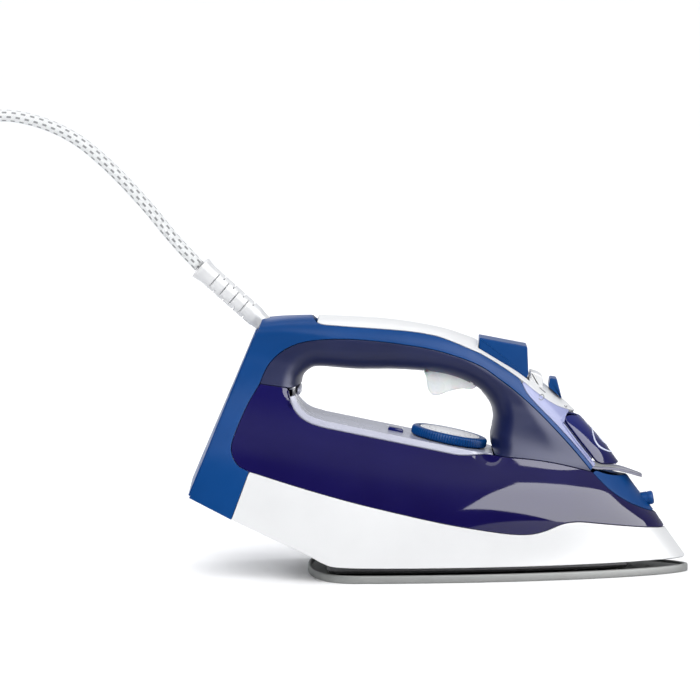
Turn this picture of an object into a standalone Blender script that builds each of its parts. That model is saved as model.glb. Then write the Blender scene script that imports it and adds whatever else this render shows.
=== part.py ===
"""Steam iron: housing shells, soleplate and heater, dial, buttons, filler, cord and plug.

Every size below is in millimetres and MM turns it into metres. X runs to the nose, Z up, and the
origin is on the resting surface under the middle of the iron.
"""

import math

import bmesh
import bpy
import numpy as np
from mathutils import Matrix, Vector

MM = 0.001

# Overall sizes. The outline points further down are drawn for the DESIGN sizes and stretched to these.
LENGTH = 291.0
HEIGHT = 150.5
WIDTH = 115.0
DESIGN_LENGTH = 291.0
DESIGN_HEIGHT = 150.5
DESIGN_WIDTH = 115.0

# Walls and fits.
SHELL_WALL = 2.0
INNER_WALL = 1.6
SEAM_GAP = 0.4
EDGE_ROW = 0.07
TANK_TIP = 2.9
NOSE_TIP = 4.8
SLIDE_GAP = 0.6
REST_GAP = 0.3

# Handle and body rounding.
HANDLE_ROUNDING = 15.0
LOOP_ROUNDING = 12.0
HEEL_ROUNDING = 8.0
SLOPE_ROUNDING = 34.0
SOFTNESS = 2.2

# Soleplate and heater.
SOLE_THICKNESS = 4.6
SOLE_REAR_X = -77.0
SOLE_CORNER = 16.0
STEAM_HOLE_RADIUS = 1.6
CASTING_INSET = 7.5
CASTING_FRONT_X = 110.0
CASTING_REAR_X = -66.0
CASTING_TOP = 17.0
CHAMBER_LID_THICKNESS = 2.0
CHAMBER_LID_INSET = 24.0
ELEMENT_RADIUS = 3.2
ELEMENT_INSET = 16.0
ELEMENT_BEND_X = 60.0

# Dial and thermostat.
DIAL_DIAMETER = 45.0
DIAL_HEIGHT = 5.4
DIAL_RIBS = 40
DIAL_X = 5.0
SHAFT_RADIUS = 2.6
THERMOSTAT_RADIUS = 13.0
THERMOSTAT_HEIGHT = 9.0

# Spray button and pump.
BUTTON_HALF_WIDTH = 11.5
BUTTON_TRAVEL = 4.0
PUMP_X = 42.0
PUMP_BORE = 4.4
PUMP_WALL = 1.6
PUMP_BASE_Z = 90.0
PUMP_TOP_Z = 108.0

# Steam trigger and its pump.
TRIGGER_HALF_WIDTH = 7.5
TRIGGER_PIN_RADIUS = 1.5
STEAM_PUMP_X = 1.0
STEAM_PUMP_BORE = 3.6
PISTON_FOOT = 4.8
CAP_UNDERSIDE = 141.5

# Steam lever and needle.
LEVER_HALF_WIDTH = 8.0
LEVER_TRAVEL = 4.0
LEVER_STEM_HALF_WIDTH = 2.0
NEEDLE_RADIUS = 1.5
NEEDLE_LIFT = 2.0
NEEDLE_X = 57.0

# Filler funnel and its lip.
FUNNEL_DEPTH = 10.0
FUNNEL_TAPER = 0.8
FUNNEL_WALL = 1.2
SPOUT_HALF_WIDTH = 11.0

# Heel rest plate.
HEEL_PROUD = 0.8
HEEL_THICKNESS = 2.4

# Spray nozzle.
NOZZLE_RADIUS = 4.0
NOZZLE_LENGTH = 15.0

# Cord, its guard and plug.
CORD_DIAMETER = 7.0
GUARD_BASE_RADIUS = 5.3
GUARD_BODY_RADIUS = 6.1
GUARD_END_RADIUS = 6.6
GUARD_LENGTH = 48.5
GUARD_ROOT = 13.0
COIL_CENTRE = (-318.0, 0.0)
COIL_INNER_RADIUS = 29.5
COIL_OUTER_RADIUS = 50.5
COIL_BOTTOM = 0.9
COIL_TOP = 14.9
PLUG_RADIUS = 18.0
PLUG_LENGTH = 34.0
PIN_RADIUS = 2.4
PIN_LENGTH = 19.0
PIN_SPACING = 19.0

# Side outlines (x, z) drawn at the DESIGN sizes; smooth curves run through the points.
CREST_REAR = [(-103.5, 149.0), (-88, 150.3), (-64, 150.5), (-29, 148.4), (0, 143.6), (20, 137.2)]
CREST_FRONT = [(20, 137.2), (35.4, 127.8), (51.2, 118.0), (65, 107.4), (80, 94.0), (97.4, 74.6)]
CREST_NOSE = [(97.4, 74.6), (106.2, 62.3), (115, 49.6), (126.5, 35.0), (132.2, 26.2), (144.4, 9.0)]
HEEL_LINE = [(-145.5, 48.5), (-103.5, 149.0)]
CAP_SEAM = [(-74, 150.5), (-70, 146.8), (-58, 145.4), (-23, 142.8), (-5, 140.2), (6, 136.8), (23.7, 129.4)]
CAP_SEAM_FRONT = [(23.7, 129.4), (35.4, 122.4), (46.5, 114.6), (57, 106.2), (68, 98.8), (79.6, 94.4)]
HEEL_SEAM = [(-120.9, 36.2), (-110.6, 63.8)]
TANK_REAR_SEAM = [(-110.6, 63.8), (-117, 67.2), (-120.7, 74), (-120, 82), (-112.4, 99.5), (-104.8, 112.4)]
GRIP_SEAM = [(-104.8, 112.4), (-101, 121.2), (-95.5, 128), (-87.5, 133.4), (-77.5, 136.6), (-62, 138),
             (-44, 137.4), (-23, 135), (-1, 131), (21.6, 123.2), (35.1, 114.2), (44.2, 107.2),
             (55.3, 97.4), (66, 86.6), (77, 74.4), (88.6, 60.6)]
STRIP_SEAM = [(46.5, 114.6), (55.2, 104.4), (65.8, 93), (78.2, 78.4), (90.4, 63.8)]
LOOP = [(-80.3, 111.5), (-79.4, 115.4), (-76, 119), (-70, 120.6), (-48, 119), (-25, 118.9), (-5, 117.3),
        (10, 113.8), (21.9, 107.8), (28.6, 100.3), (30.9, 93.4), (30.5, 87), (29.4, 81), (29.8, 75.5)]
PILLAR_SEAM_REAR = [(-104.8, 112.4), (-94.6, 110.9), (-85.2, 109.6)]
PILLAR_SEAM_FRONT = [(31.6, 71), (54, 68.6), (71, 65.4), (88.6, 60.6)]
DECK_REAR = [(-85.2, 109.6), (-84.3, 104.5), (-80.8, 98.4), (-75.3, 94), (-67, 91.2)]
DECK_FRONT = [(-67, 91.2), (31.6, 71)]
NOSE_SEAM = [(88.6, 60.6), (95.4, 53.6), (101, 48.6), (108, 43.8), (115.5, 39.8), (126.5, 35.0)]
NOSE_TOP_SEAM = [(90.6, 61.4), (97, 59), (103.5, 57.6), (109.7, 57.2)]
TANK_SEAM = [(-110.6, 63.8), (-81.6, 54.8), (-52.4, 46.6), (-23.1, 39.6), (6.1, 33.3), (35.4, 28.2),
             (50, 27), (60, 28.6), (70.5, 32.4), (80, 33.3), (94, 31.5), (115, 28.4), (132.2, 26.2)]
SKIRT_BOTTOM = [(-120.9, 36.2), (-99.2, 26.3), (-77.5, 16.6), (-68, 11.6), (-58, 9.2), (-23, 8.6),
                (70, 8.5), (129, 8.8), (144.4, 9.0)]
LID_SEAM = [(80.4, 93.4), (76.2, 89.2), (79.6, 83.4), (86, 74.8), (91, 68.4), (96.4, 64.4), (105.6, 62.9)]

# Side outlines of the spray button and the steam trigger, and the trigger's pivot.
BUTTON_OUTLINE = [(22.8, 133.2), (22.9, 137.2), (25.5, 138.6), (47.6, 132.8), (49.8, 131), (51.6, 120),
                  (50.4, 113.6), (30, 126.4)]
TRIGGER_OUTLINE = [(-8.2, 119.4), (-7.4, 110), (-5.2, 105), (-2.6, 103.9), (0.6, 104.6), (6, 106.6),
                   (13, 107.9),
                   (18.4, 107.6), (21.6, 109.4), (22.6, 112.6), (21, 115.6), (17, 116.8), (4, 119.4)]
TRIGGER_PIVOT = (19, 112.6)

# Half-width of the body against its height over the sloping deck line, and the length of its nose.
HALF_WIDTHS = [(0, 57.5), (12, 56.2), (30, 53), (45, 49.8), (60, 45), (70, 39.4), (80, 32.8), (88, 28.2),
               (98, 24.4), (112, 21.2), (125, 19.4), (160, 18.4)]
NOSE_LENGTHS = [(0, 200), (12, 190), (30, 140), (45, 105), (60, 76), (75, 64), (100, 56), (160, 50)]
DECK_SLOPE = 0.187
DECK_LEVEL_X = -49.0
REAR_TAPER = 0.10
REAR_TAPER_X = -60.0

# Cord route in the air and on the surface, chosen by hand.
LEAD_ROUTE = [(-140.2, 0, 178.8), (-154.7, 0, 194.5), (-169.4, 0, 212.4), (-184, 0, 228.6),
              (-198.6, 0, 242.7),
              (-214, 0, 254.4), (-234, -1, 263.4), (-257, -3, 267), (-284, -7, 261), (-310, -14, 243),
              (-331, -23, 212), (-345, -32, 170), (-354, -41, 125), (-360, -49, 80), (-364, -54, 45),
              (-365, -52, 20), (-365, -41, 8.5), (-365, -27.5, 7.6)]
TAIL_ROUTE = [(-365, 27.5, 7.6), (-365, 38, 8.4), (-365.5, 50, 12), (-366, 60, 16.6), (-366, 66, 18.2),
              (-366, 72, 18.4)]
CORD_SPACING = 16.0


def place(x, z):
    return x * LENGTH / DESIGN_LENGTH, z * HEIGHT / DESIGN_HEIGHT


def smooth_curve(points, per_span=10):
    """Dense Catmull-Rom curve through any points, as an array."""
    points = np.array(points, float)
    padded = np.vstack([2 * points[0] - points[1], points, 2 * points[-1] - points[-2]])
    t = np.linspace(0, 1, per_span, endpoint=False)[:, None]
    spans = []
    for a, b, c, d in zip(padded, padded[1:], padded[2:], padded[3:]):
        spans.append(b + 0.5 * t * (c - a + t * (2 * a - 5 * b + 4 * c - d + t * (3 * b - 3 * c + d - a))))
    return np.vstack(spans + [points[-1:]])


def outline(points):
    """The smooth curve through side-view points, stretched to the real length and height."""
    return smooth_curve([place(x, z) for x, z in points])


def joined(*curves):
    return np.vstack([curves[0]] + [curve[1:] for curve in curves[1:]])


def lengths_along(curve):
    steps = np.linalg.norm(np.diff(curve, axis=0), axis=1)
    return np.concatenate([[0], np.cumsum(steps)])


def resample(curve, count, trim_start=0.0, trim_end=0.0):
    along = lengths_along(curve)
    wanted = np.linspace(trim_start, along[-1] - trim_end, count)
    return np.stack([np.interp(wanted, along, axis) for axis in curve.T], axis=1)


def portion(curve, start, end):
    """The stretch of a dense curve between the places nearest to two side-view points."""
    along = lengths_along(curve)
    ends = []
    for point in (start, end):
        dense = resample(curve, 4 * len(curve))
        nearest = np.argmin(np.linalg.norm(dense - place(*point), axis=1))
        ends.append(along[-1] * nearest / (len(dense) - 1))
    inside = (along > ends[0] + 0.05) & (along < ends[1] - 0.05)
    tips = np.stack([np.interp(ends, along, axis) for axis in curve.T], axis=1)
    return np.vstack([tips[:1], curve[inside], tips[1:]])


CREST = joined(outline(CREST_REAR), outline(CREST_FRONT), outline(CREST_NOSE))
LOOP_EDGE = outline(LOOP)


def from_table(table, value):
    dense = smooth_curve(table)
    return np.interp(value, dense[:, 0], dense[:, 1])


def smoothstep(low, high, value):
    t = np.clip((value - low) / (high - low), 0, 1)
    return t * t * (3 - 2 * t)


def distance_to(curve, x, z):
    """Distance of each (x, z) to a side-view curve."""
    start, end = curve[:-1], curve[1:]
    run = end - start
    point = np.stack([np.ravel(x), np.ravel(z)], axis=1)
    away = point[:, None] - start
    share = np.clip((away * run).sum(2) / (run * run).sum(1), 0, 1)
    gap = away - share[..., None] * run
    return np.sqrt((gap * gap).sum(2).min(1)).reshape(np.shape(x))


def rounding(distance, radius):
    """Superellipse: 0 on the edge, 1 from the radius inwards."""
    u = np.clip(distance / radius, 0, 1)
    return (1 - (1 - u) ** SOFTNESS) ** (1 / SOFTNESS)


def half_width(x, z):
    """Half-width of the outer body at side-view points: plan taper, rounded crest and rounded grip."""
    x, z = np.asarray(x, float), np.asarray(z, float)
    dx, dz = x * DESIGN_LENGTH / LENGTH, z * DESIGN_HEIGHT / HEIGHT
    height = dz + DECK_SLOPE * (dx - DECK_LEVEL_X) * smoothstep(30, 75, dz)
    widest = from_table(HALF_WIDTHS, height) * WIDTH / DESIGN_WIDTH
    falling = CREST[CREST[:, 0] > 0]
    front = np.interp(-z, -falling[:, 1], falling[:, 0])
    nose = np.clip((front - x) / from_table(NOSE_LENGTHS, dz), 0, 1)
    body = (1 - (1 - nose) ** 1.9) ** 0.625
    radius = HEEL_ROUNDING + (HANDLE_ROUNDING - HEEL_ROUNDING) * smoothstep(-100, -50, dx)
    radius = radius + (SLOPE_ROUNDING - HANDLE_ROUNDING) * smoothstep(40, 85, dx)
    crown = rounding(distance_to(CREST, x, z), radius)
    upper = smoothstep(60, 90, dz)
    grip = rounding(distance_to(LOOP_EDGE, x, z), LOOP_ROUNDING)
    behind = np.clip((REAR_TAPER_X - dx) / (DESIGN_LENGTH / 2 + REAR_TAPER_X), 0, 1)
    width = widest * ((1 - upper) * body + upper * crown) * grip * (1 - REAR_TAPER * behind**2)
    return np.where(width < 0.03, 0.0, width)


def material(name, colour, roughness=0.4, metallic=0.0, alpha=1.0):
    made = bpy.data.materials.new(name)
    made.use_nodes = True
    shader = made.node_tree.nodes["Principled BSDF"]
    shader.inputs["Base Color"].default_value = (*colour, 1)
    shader.inputs["Roughness"].default_value = roughness
    shader.inputs["Metallic"].default_value = metallic
    shader.inputs["Alpha"].default_value = alpha
    made.diffuse_color = (*colour, alpha)
    return made


def clear_scene():
    for obj in list(bpy.data.objects):
        bpy.data.objects.remove(obj, do_unlink=True)


clear_scene()
PARTS = bpy.data.collections.new("steam_iron")
CUTTERS = bpy.data.collections.new("cutters")
bpy.context.scene.collection.children.link(PARTS)
bpy.context.scene.collection.children.link(CUTTERS)

BLUE = ((0.012, 0.075, 0.30), 0.45)
NAVY = ((0.004, 0.008, 0.045), 0.35)
TANK_BLUE = ((0.010, 0.008, 0.09), 0.08, 0.0, 0.8)
WHITE = ((0.86, 0.87, 0.90), 0.35)
LILAC = ((0.52, 0.55, 0.72), 0.3)
GREY = ((0.16, 0.16, 0.17), 0.4, 0.9)
DARK = ((0.05, 0.05, 0.055), 0.5, 0.6)
STEEL = ((0.55, 0.55, 0.56), 0.3, 1.0)
BRASS = ((0.62, 0.45, 0.2), 0.35, 1.0)
PLAIN = ((0.72, 0.72, 0.70), 0.5)
CABLE = ((0.80, 0.81, 0.83), 0.85)


def finish(obj, name, look, pivot=(0, 0, 0)):
    """Links an object built in world coordinates, moves its origin to the pivot and gives it its look."""
    obj.name = name
    obj.data.name = name
    obj.data.transform(Matrix.Translation(-Vector(pivot) * MM))
    obj.location = Vector(pivot) * MM
    obj.data.materials.clear()
    obj.data.materials.append(material(name, *look))
    PARTS.objects.link(obj)
    return obj


def as_cutter(obj, name):
    obj.name = name
    obj.hide_render = True
    obj.display_type = "WIRE"
    CUTTERS.objects.link(obj)
    return obj


def cut(obj, cutter, operation="DIFFERENCE"):
    modifier = obj.modifiers.new("cut_" + cutter.name, "BOOLEAN")
    modifier.operation = operation
    modifier.object = cutter
    return obj


def bevel(obj, width, segments=2, angle=40):
    modifier = obj.modifiers.new("rounded_edges", "BEVEL")
    modifier.width = width * MM
    modifier.segments = segments
    modifier.limit_method = "ANGLE"
    modifier.angle_limit = math.radians(angle)
    return obj


def mesh_object(build):
    """A new mesh object whose bmesh is filled in millimetres by build(bm)."""
    mesh = bpy.data.meshes.new("mesh")
    shape = bmesh.new()
    build(shape)
    bmesh.ops.scale(shape, vec=(MM, MM, MM), verts=shape.verts)
    bmesh.ops.recalc_face_normals(shape, faces=shape.faces)
    shape.to_mesh(mesh)
    shape.free()
    mesh.shade_smooth()
    mesh.set_sharp_from_angle(angle=math.radians(35))
    return bpy.data.objects.new("object", mesh)


def sheet(grid, outward, thickness, mirrored=True):
    """A grid of points as a surface facing outward, mirrored across y = 0 and thickened inwards."""
    columns, rows = grid.shape[:2]
    index = np.arange(columns * rows).reshape(columns, rows)
    quads = np.stack([index[:-1, :-1], index[1:, :-1], index[1:, 1:], index[:-1, 1:]], axis=-1).reshape(-1, 4)
    points = grid.reshape(-1, 3) * MM
    corners = points[quads]
    normal = np.cross(corners[:, 2] - corners[:, 0], corners[:, 3] - corners[:, 1]).sum(0)
    if normal @ np.array(outward) < 0:
        quads = quads[:, ::-1]
    mesh = bpy.data.meshes.new("sheet")
    mesh.from_pydata(points.tolist(), [], quads.tolist())
    shape = bmesh.new()
    shape.from_mesh(mesh)
    bmesh.ops.remove_doubles(shape, verts=shape.verts, dist=0.02 * MM)
    bmesh.ops.dissolve_degenerate(shape, edges=shape.edges, dist=0.01 * MM)
    shape.to_mesh(mesh)
    shape.free()
    mesh.shade_smooth()
    mesh.set_sharp_from_angle(angle=math.radians(50))
    obj = bpy.data.objects.new("sheet", mesh)
    if mirrored:
        mirror = obj.modifiers.new("both_sides", "MIRROR")
        mirror.use_axis = (False, True, False)
        mirror.use_clip = True
        mirror.merge_threshold = 0.05 * MM
    solid = obj.modifiers.new("wall", "SOLIDIFY")
    solid.thickness = thickness * MM
    solid.offset = -1
    solid.use_even_offset = True
    return obj


def inset_edge(edge, beside):
    """Moves a seam edge half the seam gap towards its neighbours, where the body has width."""
    run = beside - edge
    reach = np.linalg.norm(run, axis=1, keepdims=True)
    run = run / np.maximum(reach, 1e-6)
    tangent = np.gradient(edge, axis=0)
    tangent = tangent / np.maximum(np.linalg.norm(tangent, axis=1, keepdims=True), 1e-6)
    square = np.abs(run[:, :1] * tangent[:, 1:] - run[:, 1:] * tangent[:, :1])
    inwards = run * np.minimum(SEAM_GAP / 2 / np.maximum(square, 0.35), reach * 0.45)
    wide = half_width(edge[:, 0], edge[:, 1]) > 0
    return edge + inwards * wide[:, None]


def stations(curve, start, end, columns):
    """Evenly spaced seam points that the shells on both sides of the seam share."""
    return resample(portion(curve, start, end), columns + 1)


def trimmed(edge, start, end):
    """Moves the first and last points of an edge along it, so that a pointed end stops short."""
    edge = edge.copy()
    for tip, beside, trim in ((0, 1, start), (-1, -2, end)):
        run = edge[beside] - edge[tip]
        edge[tip] += run * min(trim / max(np.linalg.norm(run), 1e-6), 0.95)
    return edge


def body_grid(bands, rows, closing=None, trim=(0.8, 0.8)):
    """Ruled side-view grid between lower and upper seams of equal counts, wrapped on the body."""
    lower = trimmed(joined(*[low for low, high in bands]), *trim)
    upper = trimmed(joined(*[high for low, high in bands]), *trim)
    low_edge = inset_edge(lower, upper)
    high_edge = inset_edge(upper, lower)
    share = np.linspace(0, 1, rows + 1)
    if closing == "upper":
        share = np.insert(1 - (1 - share) ** 2, 1, EDGE_ROW)
    elif closing == "lower":
        share = np.insert(share**2, -1, 1 - EDGE_ROW)
    else:
        share = np.concatenate([[0, EDGE_ROW], share[1:-1], [1 - EDGE_ROW, 1]])
    side = low_edge[:, None] + (high_edge - low_edge)[:, None] * share[None, :, None]
    width = half_width(side[..., 0], side[..., 1])
    return np.stack([side[..., 0], -width, side[..., 1]], axis=-1)


def body_shell(name, look, bands, rows, closing=None, wall=SHELL_WALL, trim=(0.8, 0.8)):
    return finish(sheet(body_grid(bands, rows, closing, trim), (0, -1, 0), wall), name, look)


def cross_plate(name, look, line, half_widths, thickness, outward, across=2):
    """A plate along a side-view line, as wide as half_widths on each side of the middle."""
    share = np.linspace(0, 1, across + 1)
    grid = np.empty((len(line), across + 1, 3))
    grid[..., 0], grid[..., 2] = line[:, :1], line[:, 1:]
    grid[..., 1] = -np.asarray(half_widths)[:, None] * share
    return finish(sheet(grid, outward, thickness), name, look)


def side_plate(points, half, rounded=0.0, segments=2, stretched=True):
    """A side-view outline as a 2D curve, extruded to a half thickness on each side of the middle."""
    curve = bpy.data.curves.new("outline", "CURVE")
    curve.dimensions = "2D"
    curve.fill_mode = "BOTH"
    curve.extrude = half * MM
    spline = curve.splines.new("POLY")
    spline.points.add(len(points) - 1)
    for target, point in zip(spline.points, points):
        x, z = place(*point) if stretched else point
        target.co = (x * MM, z * MM, 0, 1)
    spline.use_cyclic_u = True
    guide = bpy.data.objects.new("outline", curve)
    guide.matrix_world = Matrix.Rotation(math.radians(90), 4, "X")
    bpy.context.scene.collection.objects.link(guide)
    bpy.context.view_layer.update()
    mesh = bpy.data.meshes.new_from_object(guide.evaluated_get(bpy.context.evaluated_depsgraph_get()))
    mesh.transform(guide.matrix_world)
    bpy.data.objects.remove(guide, do_unlink=True)
    shape = bmesh.new()
    shape.from_mesh(mesh)
    bmesh.ops.remove_doubles(shape, verts=shape.verts, dist=0.001 * MM)
    bmesh.ops.dissolve_limit(shape, angle_limit=0.01, verts=shape.verts, edges=shape.edges)
    bmesh.ops.recalc_face_normals(shape, faces=shape.faces)
    shape.to_mesh(mesh)
    shape.free()
    mesh.shade_smooth()
    mesh.set_sharp_from_angle(angle=math.radians(35))
    obj = bpy.data.objects.new("plate", mesh)
    if rounded:
        bevel(obj, rounded, segments)
    return obj


def turned(profile, steps, base=(0, 0, 0), direction=(0, 0, 1), closed=False):
    """A (radius, height) profile running down its outer side, turned about an axis from the base point."""
    points = [(radius * MM, 0, height * MM) for radius, height in profile]
    edges = [(i, i + 1) for i in range(len(points) - 1)]
    if closed:
        edges.append((len(points) - 1, 0))
    mesh = bpy.data.meshes.new("profile")
    mesh.from_pydata(points, edges, [])
    turn = Vector(direction).to_track_quat("Z", "Y").to_matrix().to_4x4()
    obj = bpy.data.objects.new("turned", mesh)
    screw = obj.modifiers.new("turned", "SCREW")
    screw.steps = steps
    screw.render_steps = steps
    screw.use_merge_vertices = True
    screw.merge_threshold = 0.001 * MM
    screw.use_smooth_shade = True
    obj.matrix_world = Matrix.Translation(Vector(base) * MM) @ turn
    return obj


def put(obj, name, look):
    """Links an object that already stands on its own axis."""
    obj.name = name
    obj.data.name = name
    obj.data.materials.append(material(name, *look))
    PARTS.objects.link(obj)
    return obj


def rod(start, end, radius, sides=12):
    start, end = Vector(start), Vector(end)
    turn = (end - start).to_track_quat("Z", "Y").to_matrix().to_4x4()
    matrix = Matrix.Translation((start + end) / 2) @ turn

    def build(shape):
        bmesh.ops.create_cone(shape, cap_ends=True, segments=sides, radius1=radius, radius2=radius,
                              depth=(end - start).length, matrix=matrix)

    return mesh_object(build)


def block(centre, size, tilt=0.0):
    matrix = Matrix.Translation(Vector(centre)) @ Matrix.Rotation(tilt, 4, "Y") @ Matrix.Diagonal((*size, 1))

    def build(shape):
        bmesh.ops.create_cube(shape, size=1, matrix=matrix)

    return mesh_object(build)


def wire(name, look, points, radius, resolution=1):
    curve = bpy.data.curves.new(name, "CURVE")
    curve.dimensions = "3D"
    curve.bevel_depth = radius * MM
    curve.bevel_resolution = resolution
    curve.use_fill_caps = True
    spline = curve.splines.new("POLY")
    spline.points.add(len(points) - 1)
    for target, point in zip(spline.points, points):
        target.co = (*(np.asarray(point) * MM), 1)
    curve.materials.append(material(name, *look))
    obj = bpy.data.objects.new(name, curve)
    PARTS.objects.link(obj)
    return obj


# Housing shells. Each shared seam is one list of stations, used by the shells on both sides of it.

FRAME_CORNERS = [(-139, 64), (-113.5, 125.1)]
GRIP_SPLITS = [GRIP_SEAM[0], (-98, 125.4), (-80, 136), (18, 124.6), (40.5, 110.2), (62, 91.4), GRIP_SEAM[-1]]
GRIP_COLUMNS = [3, 4, 14, 4, 5, 8]
TANK_SPLITS = [TANK_SEAM[0], (-92, 58), (-78, 53.8), (-60, 48.7), (35.4, 28.2), (94, 31.5), (122, 27.5),
               TANK_SEAM[-1]]
TANK_COLUMNS = [6, 3, 5, 9, 8, 7, 2]
CAP_SPLITS = [CAP_SEAM[0], (16, 132.6), STRIP_SEAM[0], (75.5, 95.9), CAP_SEAM_FRONT[-1]]
CAP_COLUMNS = [14, 4, 6, 2]
CREST_SPLITS = [CAP_SEAM[0], (14, 139.3), (51.2, 118), CAP_SEAM_FRONT[-1]]


def split(curve, splits, columns):
    return [stations(curve, start, end, count) for start, end, count in zip(splits, splits[1:], columns)]


def seams():
    """Every shared seam, as lists of stations by name."""
    made = {
        "cap": split(joined(outline(CAP_SEAM), outline(CAP_SEAM_FRONT)), CAP_SPLITS, CAP_COLUMNS),
        "grip": split(outline(GRIP_SEAM), GRIP_SPLITS, GRIP_COLUMNS),
        "tank": split(outline(TANK_SEAM), TANK_SPLITS, TANK_COLUMNS),
        "heel": resample(outline(HEEL_SEAM), 4),
        "tank_rear": resample(outline(TANK_REAR_SEAM), TANK_COLUMNS[0] + 1),
        "pillar_rear": resample(outline(PILLAR_SEAM_REAR), GRIP_COLUMNS[0] + 1),
        "pillar_front": resample(outline(PILLAR_SEAM_FRONT), GRIP_COLUMNS[5] + 1),
        "nose": resample(outline(NOSE_SEAM), TANK_COLUMNS[5] + 1),
    }
    strip = outline(STRIP_SEAM)
    made["strip"] = split(strip, [STRIP_SEAM[0], (68, 91.8), STRIP_SEAM[-1]],
                          [GRIP_COLUMNS[4], GRIP_COLUMNS[5]])
    return made


def make_shells():
    seam = seams()
    cap, strip, grip_seam, tank_seam = seam["cap"], seam["strip"], seam["grip"], seam["tank"]
    cap_front = joined(cap[2], cap[3])
    crest = split(CREST, CREST_SPLITS, [CAP_COLUMNS[0], CAP_COLUMNS[1], CAP_COLUMNS[2] + CAP_COLUMNS[3]])
    cap_shell = body_shell("handle_cap", WHITE,
                           [(cap[0], crest[0]), (cap[1], crest[1]), (cap_front, crest[2])],
                           4, "upper", trim=(7.0, 0.8))

    heel_line = outline(HEEL_LINE)
    low_corner, high_corner = FRAME_CORNERS
    frame_bands = [
        (seam["heel"], stations(heel_line, HEEL_LINE[0], low_corner, 3)),
        (seam["tank_rear"], stations(heel_line, low_corner, high_corner, TANK_COLUMNS[0])),
        (grip_seam[0], stations(heel_line, high_corner, HEEL_LINE[-1], GRIP_COLUMNS[0])),
        (grip_seam[1], stations(CREST, HEEL_LINE[-1], CAP_SEAM[0], GRIP_COLUMNS[1])),
        (grip_seam[2], cap[0]),
        (grip_seam[3], cap[1]),
        (grip_seam[4], strip[0]),
        (grip_seam[5], strip[1]),
    ]
    frame = body_shell("housing_frame", BLUE, frame_bands, 2, trim=(0.0, 1.2))

    loop_start = joined(outline([PILLAR_SEAM_REAR[-1], LOOP[0]]), portion(LOOP_EDGE, LOOP[0], (-76, 119)))
    pillar_foot = outline([LOOP[-1], PILLAR_SEAM_FRONT[0]])
    grip_bands = [
        (seam["pillar_rear"], grip_seam[0]),
        (resample(loop_start, GRIP_COLUMNS[1] + 1), grip_seam[1]),
        (stations(LOOP_EDGE, (-76, 119), (10, 113.8), GRIP_COLUMNS[2]), grip_seam[2]),
        (stations(LOOP_EDGE, (10, 113.8), (29.6, 98), GRIP_COLUMNS[3]), grip_seam[3]),
        (resample(joined(portion(LOOP_EDGE, (29.6, 98), LOOP[-1]), pillar_foot), GRIP_COLUMNS[4] + 1),
         grip_seam[4]),
        (seam["pillar_front"], grip_seam[5]),
    ]
    grip = body_shell("grip", NAVY, grip_bands, 5, "lower")

    nose_crest = stations(CREST, NOSE_SEAM[-1], TANK_SEAM[-1], TANK_COLUMNS[6])
    tank_upper = [seam["tank_rear"], seam["pillar_rear"], resample(outline(DECK_REAR), TANK_COLUMNS[2] + 1),
                  resample(outline(DECK_FRONT),
                           TANK_COLUMNS[3] + 1), seam["pillar_front"], seam["nose"], nose_crest]
    tank = body_shell("water_tank", TANK_BLUE, list(zip(tank_seam, tank_upper)), 3,
                      trim=(0.8, TANK_TIP * LENGTH / DESIGN_LENGTH))

    skirt_bottom = outline(SKIRT_BOTTOM)
    skirt_bands = [
        (stations(skirt_bottom, SKIRT_BOTTOM[0], (-108, 30.3), 3), seam["heel"]),
        (stations(skirt_bottom, (-108, 30.3), (129, 8.8), sum(TANK_COLUMNS)), joined(*tank_seam)),
        (stations(skirt_bottom, (129, 8.8), SKIRT_BOTTOM[-1], 4),
         stations(CREST, TANK_SEAM[-1], CREST_NOSE[-1], 4)),
    ]
    skirt = body_shell("lower_skirt", WHITE, skirt_bands, 2, trim=(0.8, 1.6))

    low, crest_columns = 3, TANK_COLUMNS[5] - 3
    nose_bands = [
        (seam["nose"][:low + 1], resample(outline(NOSE_TOP_SEAM), low + 1)),
        (seam["nose"][low:], stations(CREST, NOSE_TOP_SEAM[-1], NOSE_SEAM[-1], crest_columns)),
    ]
    nose = body_shell("nose_cover", BLUE, nose_bands, 4, "upper",
                      trim=(0.8, NOSE_TIP * LENGTH / DESIGN_LENGTH))
    return cap_shell, frame, grip, tank, skirt, nose


def moved_in(curve, distance):
    """A side-view curve moved sideways, to the left of its direction."""
    tangent = np.gradient(curve, axis=0)
    tangent = tangent / np.linalg.norm(tangent, axis=1, keepdims=True)
    return curve + distance * np.stack([-tangent[:, 1], tangent[:, 0]], axis=1)


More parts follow.
